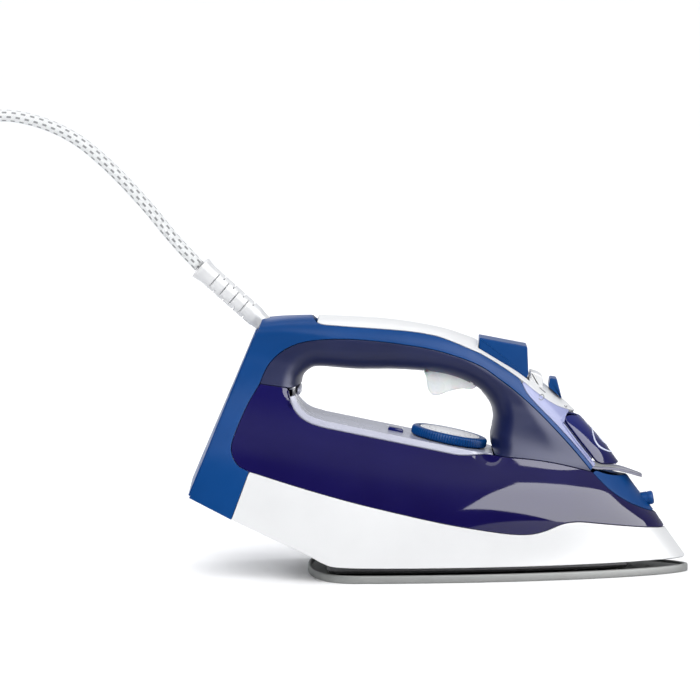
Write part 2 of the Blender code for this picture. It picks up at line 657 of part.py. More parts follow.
def make_filler():
    """Hinged lid over a funnel with a pouring lip."""
    seam = seams()
    lid_seam = outline(LID_SEAM)
    lid_low = moved_in(resample(lid_seam, 11), FUNNEL_WALL + SEAM_GAP)
    lid_crest = stations(CREST, (82.4, 91.4), (104.4, 64.8), 10)
    lid_low[0], lid_low[-1] = lid_crest[0], lid_crest[-1]
    grid = body_grid([(lid_low, lid_crest)], 4, "upper", (0.9, 0.9))
    pivot = lid_pivot()
    lid = finish(sheet(grid, (0, -1, 0), INNER_WALL), "filler_lid", TANK_BLUE, (pivot[0], 0, pivot[1]))

    low = joined(*seam["strip"])
    lid_side = stations(lid_seam, (76.2, 89.2), (92.4, 67), len(low) - 1 - CAP_COLUMNS[2])
    high = np.vstack([seam["cap"][2], lid_side[1:]])
    strip = body_grid([(low, high)], 1, None, (4.0, 1.0))
    inner = strip[:, -1]
    first, last = place(73, 0)[0], place(88.5, 0)[0]
    bowl = ((inner[:, 0] > first) & (inner[:, 0] < last))[:, None]
    wall = (inner + np.array([-0.72, 0, -0.69]) * FUNNEL_DEPTH * bowl) * np.where(bowl,
                                                                                  (1, FUNNEL_TAPER, 1), 1)
    middle = wall * np.where(bowl, (1, 0.5, 1), 1)
    floor = wall * np.where(bowl, (1, 0, 1), 1)
    grid = np.concatenate([strip, wall[:, None], middle[:, None], floor[:, None]], axis=1)
    funnel = finish(sheet(grid, (0.72, 0, 0.69), FUNNEL_WALL), "filler_funnel", LILAC)
    mouth = filler_mouth()
    cut(funnel, as_cutter(rod(mouth - Vector((-9, 0, -8.6)), mouth + Vector((-9, 0, -8.6)), 5.0, 16),
                          "filler_hole"))

    tip = outline([(95.4, 61.4), (106.4, 60.4), (118.5, 56.8)])
    line = resample(tip, 8)
    reach = (line[:, 0] - line[0, 0]) / (line[-1, 0] - line[0, 0])
    widths = SPOUT_HALF_WIDTH * np.sqrt(1 - 0.86 * reach**2)
    spout = cross_plate("filler_spout", LILAC, line, widths, INNER_WALL, (0, 0, 1), 3)
    return lid, funnel, spout


def lid_pivot():
    x, z = place(80.4, 93.4)
    return x + 0.4, z + 0.6


def filler_mouth():
    x, z = place(78, 75)
    return Vector((x, 0, z))


# Rear rest plate and the plates that close the body.

def heel_slope():
    (x0, z0), (x1, z1) = place(*HEEL_LINE[0]), place(*HEEL_LINE[1])
    along = Vector((x1 - x0, 0, z1 - z0)).normalized()
    return along, Vector((-along.z, 0, along.x))


def make_closing_plates():
    along, outward = heel_slope()
    heel = resample(outline(HEEL_LINE), 12, 1.0, 7.0)
    raised = heel + np.array([along.x, along.z]) * 4.0
    inside = np.minimum(half_width(heel[:, 0], heel[:, 1]), half_width(raised[:, 0], raised[:, 1]))
    inside = inside - SHELL_WALL - SEAM_GAP - 0.3
    line = heel + np.array([outward.x, outward.z]) * HEEL_PROUD
    heel_cover = cross_plate("heel_cover", BLUE, line, np.maximum(inside, 3.0), HEEL_THICKNESS,
                             tuple(outward), 2)

    corner = np.array(place(*HEEL_LINE[0]))
    under = joined(outline([HEEL_LINE[0], SKIRT_BOTTOM[0]]), portion(outline(SKIRT_BOTTOM), SKIRT_BOTTOM[0],
                                                                     (-79.5, 17.4)))
    under = under[np.linalg.norm(under - corner, axis=1) > HEEL_THICKNESS + 1.2]
    under = resample(under, 12)
    raised = under + np.array([0, 0.6])
    inside = half_width(raised[:, 0], raised[:, 1] + 1.0) - SHELL_WALL - SEAM_GAP - 0.8
    base = cross_plate("rear_base_cover", WHITE, raised, inside, SHELL_WALL, (0, 0, -1), 2)

    deck_line = resample(joined(outline(DECK_REAR), outline(DECK_FRONT)), 18, 1.2, 3.6)
    inside = half_width(deck_line[:, 0], deck_line[:, 1]) - SHELL_WALL - SEAM_GAP - 0.35
    deck = cross_plate("deck_panel", LILAC, deck_line, inside, INNER_WALL, (0.3, 0, 1), 1)

    floor_line = resample(outline([(-94, 54), (-52, 44), (0, 34.5), (36, 29.8), (100, 29.6)]), 16)
    inside = half_width(floor_line[:, 0], floor_line[:, 1]) - SHELL_WALL - SLIDE_GAP - 0.6
    floor = cross_plate("tank_floor", PLAIN, floor_line, inside, INNER_WALL, (0, 0, 1), 2)

    bulk_line = resample(outline([(-97, 56), (-100, 78), (-97, 100)]), 8)
    inside = half_width(bulk_line[:, 0], bulk_line[:, 1]) - SHELL_WALL - SLIDE_GAP - 0.6
    bulkhead = cross_plate("tank_bulkhead", PLAIN, bulk_line, inside, INNER_WALL, (-1, 0, 0), 2)
    return heel_cover, base, deck, floor, bulkhead


# Soleplate and heater.

def sole_half_width(x, inset=0.0):
    reach = np.clip((LENGTH / 2 + 0.2 - x) / NOSE_LENGTHS[0][1], 0, 1)
    full = WIDTH / 2 * (1 - (1 - reach) ** 1.9) ** 0.625
    return np.maximum(full - inset, 0)


def plan_outline(rear, front, inset, corner, count):
    """Plan-view outline that follows the sole, from its rounded rear corners to its nose."""
    rounded = [(rear + corner * (1 - math.cos(a)), corner * (1 - math.sin(a)))
               for a in np.linspace(0.0, math.pi / 2, 5)]
    half = [(x, sole_half_width(rear + corner, inset) - drop) for x, drop in rounded]
    stations = rear + corner + (front - rear - corner) * np.sin(np.linspace(0, math.pi / 2, count))[1:]
    half += [(x, sole_half_width(x, inset)) for x in stations]
    near = [(x, -y) for x, y in half if y > 0.01]
    far = [(x, y) for x, y in reversed(half) if y > 0.01]
    tip = [(front, 0.0)] if half[-1][1] <= 0.01 else []
    return near + tip + far


def plan_plate(points, bottom, thickness):
    """A plan-view outline with a thickness, as a closed solid standing on its bottom height."""

    def build(shape):
        face = shape.faces.new([shape.verts.new((float(x), float(y), bottom)) for x, y in points])
        raised = bmesh.ops.extrude_face_region(shape, geom=[face])["geom"]
        lifted = [item for item in raised if isinstance(item, bmesh.types.BMVert)]
        bmesh.ops.translate(shape, verts=lifted, vec=(0, 0, thickness))

    return mesh_object(build)


def steam_hole_places():
    """Steam holes in two rows along the nose and a bow across the front."""
    places = []
    for x in np.linspace(20, 104, 8):
        spread = float(sole_half_width(x)) * 0.52
        places += [(x, -spread), (x, spread)]
    places += [(x, 0.0) for x in (112, 122)]
    return [(x * LENGTH / DESIGN_LENGTH, y) for x, y in places]


def make_sole_and_heater():
    rear, front = place(SOLE_REAR_X, 0)[0], LENGTH / 2 + 0.2
    sole = finish(plan_plate(plan_outline(rear, front, 0, SOLE_CORNER, 22), 0.0, SOLE_THICKNESS), "soleplate",
                  GREY)
    bevel(sole, 1.1, 2, 50)
    for number, (x, y) in enumerate(steam_hole_places()):
        cut(sole, as_cutter(rod((x, y, -2), (x, y, SOLE_THICKNESS + 2), STEAM_HOLE_RADIUS, 8),
                            f"steam_hole_{number}"))

    casting_bottom = SOLE_THICKNESS + REST_GAP
    casting_rear, casting_front = place(CASTING_REAR_X, 0)[0], place(CASTING_FRONT_X, 0)[0]
    casting = finish(plan_plate(plan_outline(casting_rear, casting_front, CASTING_INSET, SOLE_CORNER / 2, 12),
                                casting_bottom, CASTING_TOP - casting_bottom), "heater_casting", DARK)
    bevel(casting, 1.5, 1, 50)

    lid_z = CASTING_TOP + REST_GAP
    bend = place(ELEMENT_BEND_X, 0)[0]
    lid_rear, lid_front = place(14, 0)[0], bend + 28
    chamber = finish(plan_plate(plan_outline(lid_rear, lid_front, CHAMBER_LID_INSET, 4, 7), lid_z,
                                CHAMBER_LID_THICKNESS), "steam_chamber_lid", STEEL)

    element_z = CASTING_TOP + REST_GAP + ELEMENT_RADIUS
    stations = np.concatenate([np.linspace(place(-58, 0)[0], bend, 9), bend + np.array([12, 22, 30, 35])])
    side = [(x, float(sole_half_width(x, ELEMENT_INSET))) for x in stations]
    tip = [(bend + 37, 0.0)]
    route = [(x, -y, element_z) for x, y in side] + [(x, y, element_z) for x, y in tip]
    route += [(x, y, element_z) for x, y in reversed(side)]
    element = wire("heating_element", STEEL, resample(smooth_curve(route, 6), 30), ELEMENT_RADIUS, 2)
    return sole, casting, chamber, element


# Dial, its shaft and the thermostat.

def deck_frame():
    """The dial's place on the deck, and the deck's upward normal."""
    (x0, z0), (x1, z1) = place(*DECK_FRONT[0]), place(*DECK_FRONT[1])
    along = Vector((x1 - x0, 0, z1 - z0)).normalized()
    normal = Vector((-along.z, 0, along.x))
    x = place(DIAL_X, 0)[0]
    return Vector((x, 0, z0 + (x - x0) * (z1 - z0) / (x1 - x0))), normal, along


def make_dial(deck, floor):
    foot, normal, along = deck_frame()
    start = foot + normal * SLIDE_GAP
    radius = DIAL_DIAMETER / 2
    rim = [(0, DIAL_HEIGHT - 0.9), (radius - 4.2, DIAL_HEIGHT - 0.9), (radius - 4.0, DIAL_HEIGHT - 0.2),
           (radius - 1.6, DIAL_HEIGHT), (radius - 0.4, DIAL_HEIGHT - 0.8), (radius, DIAL_HEIGHT - 2.0),
           (radius, 1.0), (radius - 0.7, 0.0), (0, 0.0)]
    dial = put(turned(rim, DIAL_RIBS, start, normal), "temperature_dial", BLUE)
    face_start = start + normal * (DIAL_HEIGHT - 0.9 + REST_GAP)
    face = put(turned([(0, 0.6), (radius - 4.6, 0.6), (radius - 4.6, 0), (0, 0)], 32, face_start, normal),
               "dial_face", WHITE)
    drop = (foot.z - (CASTING_TOP + THERMOSTAT_HEIGHT + 2 * REST_GAP + 1.0)) / normal.z
    low = foot - normal * drop
    shaft = put(turned([(0, drop), (SHAFT_RADIUS, drop), (SHAFT_RADIUS, 0), (0, 0)], 12, low, normal),
                "thermostat_shaft", STEEL)
    for plate in (deck, floor):
        cut(plate, as_cutter(rod(low, foot + normal * 3, SHAFT_RADIUS + SLIDE_GAP, 12),
                             f"shaft_hole_{plate.name}"))
    base = Vector((low.x, 0, CASTING_TOP + REST_GAP))
    body = [(0, THERMOSTAT_HEIGHT), (5, THERMOSTAT_HEIGHT), (THERMOSTAT_RADIUS, THERMOSTAT_HEIGHT - 3),
            (THERMOSTAT_RADIUS, 0), (0, 0)]
    thermostat = put(turned(body, 20, base), "thermostat", BRASS)
    fuse_x = place(-40, 0)[0]
    fuse_z = CASTING_TOP + REST_GAP + 3
    fuse = finish(rod((fuse_x, -9, fuse_z), (fuse_x, 9, fuse_z), 3, 12), "thermal_fuse", PLAIN)
    lens_spot = foot - along * 31.5 + normal * 0.2
    lens = finish(bevel(block(lens_spot, (9.0, 12.0, 3.4), math.atan2(-along.z, along.x)), 0.8),
                  "indicator_lens",
                  NAVY)
    hole = as_cutter(block(lens_spot, (9.0 + SLIDE_GAP, 12.0 + SLIDE_GAP, 12.0),
                           math.atan2(-along.z, along.x)),
                     "lens_hole")
    cut(deck, hole)
    return dial, face, shaft, thermostat, fuse, lens


# Spray button and pump.

def spring_points(x, bottom, top, radius, turns, y=0.0):
    count = int(turns * 10) + 1
    angle = np.linspace(0, turns * 2 * math.pi, count)
    return np.stack([x + radius * np.cos(angle), y + radius * np.sin(angle),
                     np.linspace(bottom, top, count)], axis=1)


def hollow_pump(x, bottom, top, bore, open_top):
    """A closed-ended cylinder with a bore, as a turned cup."""
    outer = bore + PUMP_WALL
    height = top - bottom
    cup = [(bore, height), (outer, height), (outer, 0), (0, 0), (0, PUMP_WALL), (bore, PUMP_WALL)]
    if open_top:
        return turned(cup, 16, (x, 0, bottom), closed=True)
    return turned(cup, 16, (x, 0, top), (0, 0, -1), closed=True)


def make_spray(cap):
    top = place(0, PUMP_TOP_Z)[1]
    bottom = place(0, PUMP_BASE_Z)[1]
    x = place(PUMP_X, 0)[0]
    button_z = place(*BUTTON_OUTLINE[0])[1]
    button = finish(side_plate(BUTTON_OUTLINE, BUTTON_HALF_WIDTH, 1.6, 3), "spray_button", BLUE,
                    (place(37, 0)[0], 0, button_z))
    low, high = place(BUTTON_OUTLINE[0][0], 0)[0], place(BUTTON_OUTLINE[5][0], 0)[0]
    opening = block(((low + high) / 2, 0, place(0, 125)[1]),
                    (high - low + 2 * SLIDE_GAP, 2 * (BUTTON_HALF_WIDTH + SLIDE_GAP), 50))
    cut(cap, as_cutter(opening, "button_opening"))
    cylinder = put(hollow_pump(x, bottom, top, PUMP_BORE, True), "spray_cylinder", PLAIN)
    (xa, za), (xb, zb) = place(*BUTTON_OUTLINE[-2]), place(*BUTTON_OUTLINE[-1])
    under = za + (x + 3.2 - xa) * (zb - za) / (xb - xa) - REST_GAP - 0.2
    piston_bottom = bottom + PUMP_WALL + BUTTON_TRAVEL + 3.0
    shoulder = top + 0.8
    piston_profile = [(0, under - piston_bottom), (2.2, under - piston_bottom), (2.2, 5),
                      (PUMP_BORE - 0.4, 4.5),
                      (PUMP_BORE - 0.4, 0), (0, 0)]
    piston = put(turned(piston_profile, 14, (x, 0, piston_bottom)), "spray_piston", PLAIN)
    spring = wire("spray_spring", STEEL, spring_points(x, shoulder, under - 1.6, 4.6, 4), 0.45)
    nozzle_in = nozzle_place()[0]
    tube = wire("spray_tube", PLAIN, resample(smooth_curve([
        (x + PUMP_BORE + PUMP_WALL + 2.4, -4, bottom + 6), (place(56, 0)[0], -8, place(0, 84)[1]),
        (place(66, 0)[0], -11, place(0, 62)[1]), (place(84, 0)[0], -13, place(0, 43)[1]),
        (place(101, 0)[0], -3, place(0, 40.5)[1]), (nozzle_in.x - 1.0, 0, nozzle_in.z - 0.3)], 6), 18), 1.6)
    suction = finish(rod((x, 0, place(0, 33)[1]), (x, 0, bottom - REST_GAP), 1.8, 8), "suction_tube", PLAIN)
    return button, cylinder, piston, spring, tube, suction


# Nozzle in the nose cover.

def nozzle_place():
    x, z = place(125.4, 43.4)
    direction = Vector((0.985, 0, 0.17))
    tip = Vector((x, 0, z))
    return tip - direction * NOZZLE_LENGTH, direction


def make_nozzle(nose, tank):
    start, direction = nozzle_place()
    profile = [(1.3, NOZZLE_LENGTH), (NOZZLE_RADIUS - 0.8, NOZZLE_LENGTH),
               (NOZZLE_RADIUS, NOZZLE_LENGTH - 0.8),
               (NOZZLE_RADIUS, 0), (0, 0), (0, NOZZLE_LENGTH - 3), (1.3, NOZZLE_LENGTH - 3)]
    nozzle = put(turned(profile, 20, start, direction, closed=True), "spray_nozzle", BLUE)
    for shell in (nose, tank):
        hole = rod(start - direction * 4, start + direction * (NOZZLE_LENGTH + 8),
                   NOZZLE_RADIUS + REST_GAP, 20)
        cut(shell, as_cutter(hole, f"nozzle_hole_{shell.name}"))
    jet = put(turned([(0, 1.6), (0.9, 1.6), (0.9, 0), (0, 0)], 10,
                     start + direction * (NOZZLE_LENGTH - 2.6), direction),
              "nozzle_jet", BRASS)
    return nozzle, jet


# Steam trigger and its pump.

def make_trigger(grip):
    px, pz = place(*TRIGGER_PIVOT)
    trigger = finish(side_plate(TRIGGER_OUTLINE, TRIGGER_HALF_WIDTH, 1.0, 2), "steam_trigger", WHITE,
                     (px, 0, pz))
    pin_half = TRIGGER_HALF_WIDTH + 3.2
    bore = rod((px, -pin_half - REST_GAP, pz), (px, pin_half + REST_GAP, pz),
               TRIGGER_PIN_RADIUS + REST_GAP, 12)
    bore = as_cutter(bore, "trigger_bore")
    cut(trigger, bore)
    cut(grip, bore)
    pin = finish(rod((px, -pin_half, pz), (px, pin_half, pz), TRIGGER_PIN_RADIUS, 12), "trigger_pin", STEEL)
    low, high = place(-9.6, 0)[0], place(24.4, 0)[0]
    slot = block(((low + high) / 2, 0, pz), (high - low, 2 * (TRIGGER_HALF_WIDTH + SLIDE_GAP), 22))
    cut(grip, as_cutter(slot, "trigger_slot"))
    x = place(STEAM_PUMP_X, 0)[0]
    lever_top = place(0, TRIGGER_OUTLINE[0][1])[1]
    top = place(0, CAP_UNDERSIDE)[1] - SHELL_WALL
    base = place(0, 128.4)[1]
    cylinder = put(hollow_pump(x, base, top, STEAM_PUMP_BORE, False), "steam_cylinder", PLAIN)
    piston_low = lever_top + 2 * REST_GAP
    rise = base + 3.4 - piston_low
    piston_profile = [(0, rise + 0.4), (STEAM_PUMP_BORE - 0.5, rise + 0.4),
                      (STEAM_PUMP_BORE - 0.5, rise - 2.4), (1.6, rise - 3),
                      (1.6, 1.6), (PISTON_FOOT, 1.4), (PISTON_FOOT, 0), (0, 0)]
    piston = put(turned(piston_profile, 14, (x, 0, piston_low)), "steam_piston", PLAIN)
    spring = wire("steam_spring", STEEL, spring_points(x, piston_low + 2.6, base - 0.9, 4.2, 3), 0.4)
    return trigger, pin, cylinder, piston, spring


# Steam lever on the cap, its needle and valve.

def cap_slope():
    (x0, z0), (x1, z1) = place(60, 111.3), place(78, 95.8)
    along = Vector((x1 - x0, 0, z1 - z0)).normalized()
    return along, Vector((-along.z, 0, along.x))


def make_lever(cap):
    along, outward = cap_slope()
    spot = Vector((place(67, 0)[0], 0, place(0, 105.8)[1]))
    tilt = math.atan2(-along.z, along.x)
    base = block(spot + outward * (SLIDE_GAP + 1.2), (9.0, 2 * LEVER_HALF_WIDTH, 1.8), tilt)
    lever = finish(bevel(base, 0.4, 1), "steam_lever", BLUE, spot)
    fin = block(spot + outward * 6.6 - along * 1.2, (2.8, 2 * LEVER_HALF_WIDTH, 10.4), tilt)
    cut(lever, as_cutter(fin, "lever_fin"), "UNION")
    stem = block(spot - outward * 1.4, (3.4, 2 * LEVER_STEM_HALF_WIDTH, 7.0), tilt)
    cut(lever, as_cutter(stem, "lever_stem"), "UNION")
    slot = block(spot - outward * 1.4, (3.4 + 2 * (LEVER_TRAVEL + SLIDE_GAP),
                                        2 * (LEVER_STEM_HALF_WIDTH + SLIDE_GAP), 12.0), tilt)
    cut(cap, as_cutter(slot, "lever_slot"))
    x = place(NEEDLE_X, 0)[0]
    seat_z = CASTING_TOP + REST_GAP + CHAMBER_LID_THICKNESS + REST_GAP
    seat_profile = [(NEEDLE_RADIUS + 0.5, 7), (4.2, 7), (5, 0), (0, 0), (0, 1.2), (NEEDLE_RADIUS + 0.5, 1.2)]
    seat = put(turned(seat_profile, 16, (x, 0, seat_z), closed=True), "steam_valve", BRASS)
    needle_low = seat_z + 1.2 + REST_GAP + NEEDLE_LIFT
    needle_high = place(0, 93)[1]
    needle_profile = [(0, needle_high - needle_low), (NEEDLE_RADIUS, needle_high - needle_low),
                      (NEEDLE_RADIUS, 1.4), (0, 0)]
    needle = put(turned(needle_profile, 10, (x, 0, needle_low)), "steam_needle", STEEL)
    return lever, seat, needle


# Cord guard, clamp, terminal block and screws.

def guard_axis():
    x, z = place(-103.8, 146.3)
    direction = Vector((-0.746, 0, 0.666)).normalized()
    return Vector((x, 0, z)), direction


def make_cord_entry(frame, heel_cover):
    base, direction = guard_axis()
    start = base - direction * GUARD_ROOT
    length = GUARD_LENGTH + GUARD_ROOT
    bore = CORD_DIAMETER / 2 + 0.5
    outer = [(GUARD_END_RADIUS - 0.8, length), (GUARD_END_RADIUS, length - 1.0),
             (GUARD_END_RADIUS - 0.2, length - 5),
             (GUARD_BODY_RADIUS, length - 8)]
    for number in range(5):
        middle = length - 12 - number * 6.0
        outer += [(GUARD_BODY_RADIUS, middle + 1.2), (GUARD_BODY_RADIUS - 1.2, middle + 0.8),
                  (GUARD_BODY_RADIUS - 1.2, middle - 0.8), (GUARD_BODY_RADIUS, middle - 1.2)]
    outer += [(GUARD_BODY_RADIUS, GUARD_ROOT + 6), (GUARD_BASE_RADIUS, GUARD_ROOT + 1.5),
              (GUARD_BASE_RADIUS, 3.0), (GUARD_BASE_RADIUS + 2.4, 3.0), (GUARD_BASE_RADIUS + 2.4, 0.0)]
    profile = outer + [(bore, 0.0), (bore, length)]
    guard = put(turned(profile, 14, start, direction, closed=True), "cord_guard", WHITE)
    for shell in (frame, heel_cover):
        hole = rod(base - direction * 8.5, base + direction * 20, GUARD_BASE_RADIUS + SLIDE_GAP, 24)
        cut(shell, as_cutter(hole, f"guard_hole_{shell.name}"))
    clamp_spot = start - direction * 7.0
    clamp = finish(bevel(block(clamp_spot, (6, 14, 8), 0.73), 0.8, 1), "cord_clamp", PLAIN)
    terminal_spot = (place(-121, 0)[0], 0, place(0, 64)[1])
    terminal = finish(bevel(block(terminal_spot, (14, 30, 12)), 0.8, 1), "terminal_block", PLAIN)
    x0, z0 = place(-92, 122)
    lead = wire("supply_lead", CABLE, resample(smooth_curve([
        (x0, 0, z0), (place(-104, 0)[0], 0, place(0, 106)[1]), (place(-113, 0)[0], 0, place(0, 88)[1]),
        (terminal_spot[0], 0, terminal_spot[2] + 6 + 4 * REST_GAP)], 6), 12), 2.6)
    return guard, clamp, terminal, lead


def make_screws(heel_cover):
    along, outward = heel_slope()
    bottom = Vector((*place(*HEEL_LINE[0]), 0)).xzy
    screws = []
    for number, (up, side) in enumerate(((16, -24), (16, 24), (62, 0))):
        face = bottom + along * up + outward * HEEL_PROUD + Vector((0, side, 0))
        cut(heel_cover, as_cutter(rod(face - outward * 8, face + outward * 4, 3.4, 12),
                                  f"screw_hole_{number}"))
        profile = [(0, 8.6), (2.6, 8.6), (3.0, 8.0), (3.0, 6.4), (1.5, 6.2), (1.5, 0.4), (1.0, 0), (0, 0)]
        spot = face - outward * 9.4
        screws.append(put(turned(profile, 12, spot, outward), f"heel_screw_{number + 1}", STEEL))
    return screws


# Cord, coil, tie and plug.

def make_cord():
    radius = CORD_DIAMETER / 2
    lead_curve = smooth_curve(LEAD_ROUTE)
    count = int(lengths_along(lead_curve)[-1] / CORD_SPACING)
    lead = wire("cord_lead", CABLE, resample(lead_curve, count), radius, 2)
    tail_curve = smooth_curve(TAIL_ROUTE)
    tail = wire("cord_tail", CABLE, resample(tail_curve, 6), radius, 2)
    x, y = COIL_CENTRE
    soft = 2.5
    section = [(COIL_INNER_RADIUS + soft, COIL_TOP), (COIL_OUTER_RADIUS - soft, COIL_TOP),
               (COIL_OUTER_RADIUS, COIL_TOP - soft), (COIL_OUTER_RADIUS, COIL_BOTTOM + soft),
               (COIL_OUTER_RADIUS - soft, COIL_BOTTOM), (COIL_INNER_RADIUS + soft, COIL_BOTTOM),
               (COIL_INNER_RADIUS, COIL_BOTTOM + soft), (COIL_INNER_RADIUS, COIL_TOP - soft)]
    coil = put(turned(section, 32, (x, y, 0), closed=True), "cord_coil", CABLE)
    tie_wall, tie_gap = 0.6, 0.3
    inner, outer = COIL_INNER_RADIUS - 1.0, COIL_OUTER_RADIUS + tie_gap
    low, high = COIL_BOTTOM - tie_gap, COIL_TOP + tie_gap
    angle = math.radians(-50)
    middle = Vector((x, y, 0)) + Vector((math.cos(angle), math.sin(angle), 0)) * (inner + outer) / 2
    turn = Matrix.Rotation(angle, 4, "Z")

    def band(width, height, length):
        def build(shape):
            bmesh.ops.create_cube(shape, size=1,
                                  matrix=Matrix.Translation(middle + Vector((0, 0, (low + high) / 2)))
                                  @ turn @ Matrix.Diagonal((width, length, height, 1)))
        return mesh_object(build)

    tie = finish(band(outer - inner + 2 * tie_wall, high - low + 2 * tie_wall, 10), "cord_tie", DARK)
    cut(tie, as_cutter(band(outer - inner, high - low, 14), "tie_hole"))

    end = Vector(TAIL_ROUTE[-1]) + Vector((0, 2 * REST_GAP, 0))
    forward = Vector((0, 1, 0))
    body = [(0, PLUG_LENGTH), (PLUG_RADIUS - 1.2, PLUG_LENGTH), (PLUG_RADIUS, PLUG_LENGTH - 1.2),
            (PLUG_RADIUS, PLUG_LENGTH - 14), (PLUG_RADIUS - 5, PLUG_LENGTH - 22), (7.5, 6), (5.2, 0), (0, 0)]
    plug = put(turned(body, 24, end, forward), "plug_body", WHITE)
    pins = []
    for number, side in enumerate((-1, 1)):
        start = end + forward * (PLUG_LENGTH + REST_GAP) + Vector((side * PIN_SPACING / 2, 0, 0))
        profile = [(0, PIN_LENGTH), (PIN_RADIUS - 0.6, PIN_LENGTH), (PIN_RADIUS, PIN_LENGTH - 1),
                   (PIN_RADIUS, 0), (0, 0)]
        pins.append(put(turned(profile, 12, start, forward), f"plug_pin_{number + 1}", STEEL))
    return lead, tail, coil, tie, plug, pins


def make_iron():
    cap, frame, grip, tank, skirt, nose = make_shells()
    make_filler()
    heel_cover, base, deck, floor, bulkhead = make_closing_plates()
    make_sole_and_heater()
    make_dial(deck, floor)
    make_spray(cap)
    make_nozzle(nose, tank)
    make_trigger(grip)
    lever, seat, needle = make_lever(cap)
    x = place(NEEDLE_X, 0)[0]
    cut(floor, as_cutter(rod((x, 0, 0), (x, 0, 60), NEEDLE_RADIUS + SLIDE_GAP, 10), "needle_hole"))
    make_cord_entry(frame, heel_cover)
    make_screws(heel_cover)
    make_cord()


make_iron()
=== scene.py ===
import bmesh
import bpy
import math
import numpy as np
from mathutils import Matrix, Vector


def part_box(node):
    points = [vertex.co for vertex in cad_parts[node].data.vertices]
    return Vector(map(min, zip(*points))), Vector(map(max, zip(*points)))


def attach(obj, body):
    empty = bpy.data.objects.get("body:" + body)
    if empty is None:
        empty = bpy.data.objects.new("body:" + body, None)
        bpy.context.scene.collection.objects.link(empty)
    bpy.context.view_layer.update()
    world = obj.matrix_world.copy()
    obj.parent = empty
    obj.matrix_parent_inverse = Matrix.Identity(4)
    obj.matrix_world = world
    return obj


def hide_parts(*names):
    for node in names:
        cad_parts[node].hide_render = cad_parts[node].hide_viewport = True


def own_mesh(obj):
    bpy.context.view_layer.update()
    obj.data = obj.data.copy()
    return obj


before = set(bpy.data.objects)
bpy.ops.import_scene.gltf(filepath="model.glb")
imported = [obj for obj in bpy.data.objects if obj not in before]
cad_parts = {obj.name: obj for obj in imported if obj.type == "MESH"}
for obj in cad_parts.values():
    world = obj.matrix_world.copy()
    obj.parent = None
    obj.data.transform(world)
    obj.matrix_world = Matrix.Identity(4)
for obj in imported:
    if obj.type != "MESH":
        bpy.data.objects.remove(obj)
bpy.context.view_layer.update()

mm = 0.001  # every size below is in millimetres

# Camera, floor and lights

studio = {
    "aim": (-52.4, 0, 129.9), "distance": 3000, "elevation": 5.5, "lens": 264, "sensor": 36,
    "roomLow": 0.02, "roomHigh": 0.7, "roomLean": 0.9, "roomFrom": -0.25, "roomTo": 0.85,
    "roomColour": (0.94, 0.96, 1.0, 1), "sun": 2.75, "sunWidth": 50, "sunTurn": (42, 0, -14),
    "floor": (0.93, 0.93, 0.935), "floorHalf": 40.0,
    # each box's name, place, aim, size and power, and whether it lights matt surfaces as well as glossy ones
    "boxes": [
        ("frontRightBox", (1.66, -1.36, 1.08), (0.05, 0, 0.06), (3.2, 2.5), 240, False),
        ("overheadBox", (0.0, 0.5, 2.1), (0, 0, 0.1), (1.2, 0.8), 6, True),
        ("backBox", (-0.7, 1.7, 0.9), (0, 0, 0.1), (1.2, 0.9), 5, True),
    ],
}


def makeCamera():
    tilt = math.radians(studio["elevation"])
    back = Vector((0, -math.cos(tilt), math.sin(tilt)))
    lensData = bpy.data.cameras.new("camera")
    lensData.lens, lensData.sensor_width, lensData.clip_end = studio["lens"], studio["sensor"], 200
    camera = bpy.data.objects.new("camera", lensData)
    camera.location = (Vector(studio["aim"]) + back * studio["distance"]) * mm
    camera.rotation_euler = (-back).to_track_quat("-Z", "Y").to_euler()
    bpy.context.scene.collection.objects.link(camera)
    bpy.context.scene.camera = camera


def areaLight(name, spot, aim, size, power, shines):
    # a soft box; one that doesn't shine shows only in glossy surfaces
    lamp = bpy.data.lights.new(name, "AREA")
    lamp.shape, lamp.size, lamp.size_y, lamp.energy = "RECTANGLE", size[0], size[1], power
    holder = bpy.data.objects.new(name, lamp)
    holder.location = spot
    holder.rotation_euler = (Vector(aim) - Vector(spot)).to_track_quat("-Z", "Z").to_euler()
    holder.visible_diffuse, holder.visible_camera = shines, False
    bpy.context.scene.collection.objects.link(holder)


def makeLights():
    for box in studio["boxes"]:
        areaLight(*box)
    sun = bpy.data.lights.new("sky", "SUN")
    sun.energy, sun.angle = studio["sun"], math.radians(studio["sunWidth"])
    holder = bpy.data.objects.new("sky", sun)
    holder.rotation_euler = [math.radians(turn) for turn in studio["sunTurn"]]
    holder.visible_glossy = False
    bpy.context.scene.collection.objects.link(holder)


def makeRoom():
    # a soft room: bright overhead and behind, dim in front of the object near the horizon
    world = bpy.data.worlds.new("room")
    bpy.context.scene.world = world
    world.use_nodes = True
    tree = world.node_tree
    plain = tree.nodes["Background"]
    direction, apart = tree.nodes.new("ShaderNodeTexCoord"), tree.nodes.new("ShaderNodeSeparateXYZ")
    slope, level = tree.nodes.new("ShaderNodeMath"), tree.nodes.new("ShaderNodeMapRange")
    slope.operation = "MULTIPLY_ADD"
    slope.inputs[1].default_value = studio["roomLean"]
    for socket, value in {"From Min": "roomFrom", "From Max": "roomTo", "To Min": "roomLow",
                          "To Max": "roomHigh"}.items():
        level.inputs[socket].default_value = studio[value]
    tree.links.new(direction.outputs["Generated"], apart.inputs[0])
    tree.links.new(apart.outputs["Y"], slope.inputs[0])
    tree.links.new(apart.outputs["Z"], slope.inputs[2])
    tree.links.new(slope.outputs[0], level.inputs["Value"])
    tree.links.new(level.outputs[0], plain.inputs["Strength"])
    plain.inputs["Color"].default_value = studio["roomColour"]


makeCamera()
makeLights()
makeRoom()
bpy.context.scene.view_settings.view_transform = "Standard"
print("camera, lights and room are in place")


# Shader maths: one socket with the arithmetic that adds Math nodes


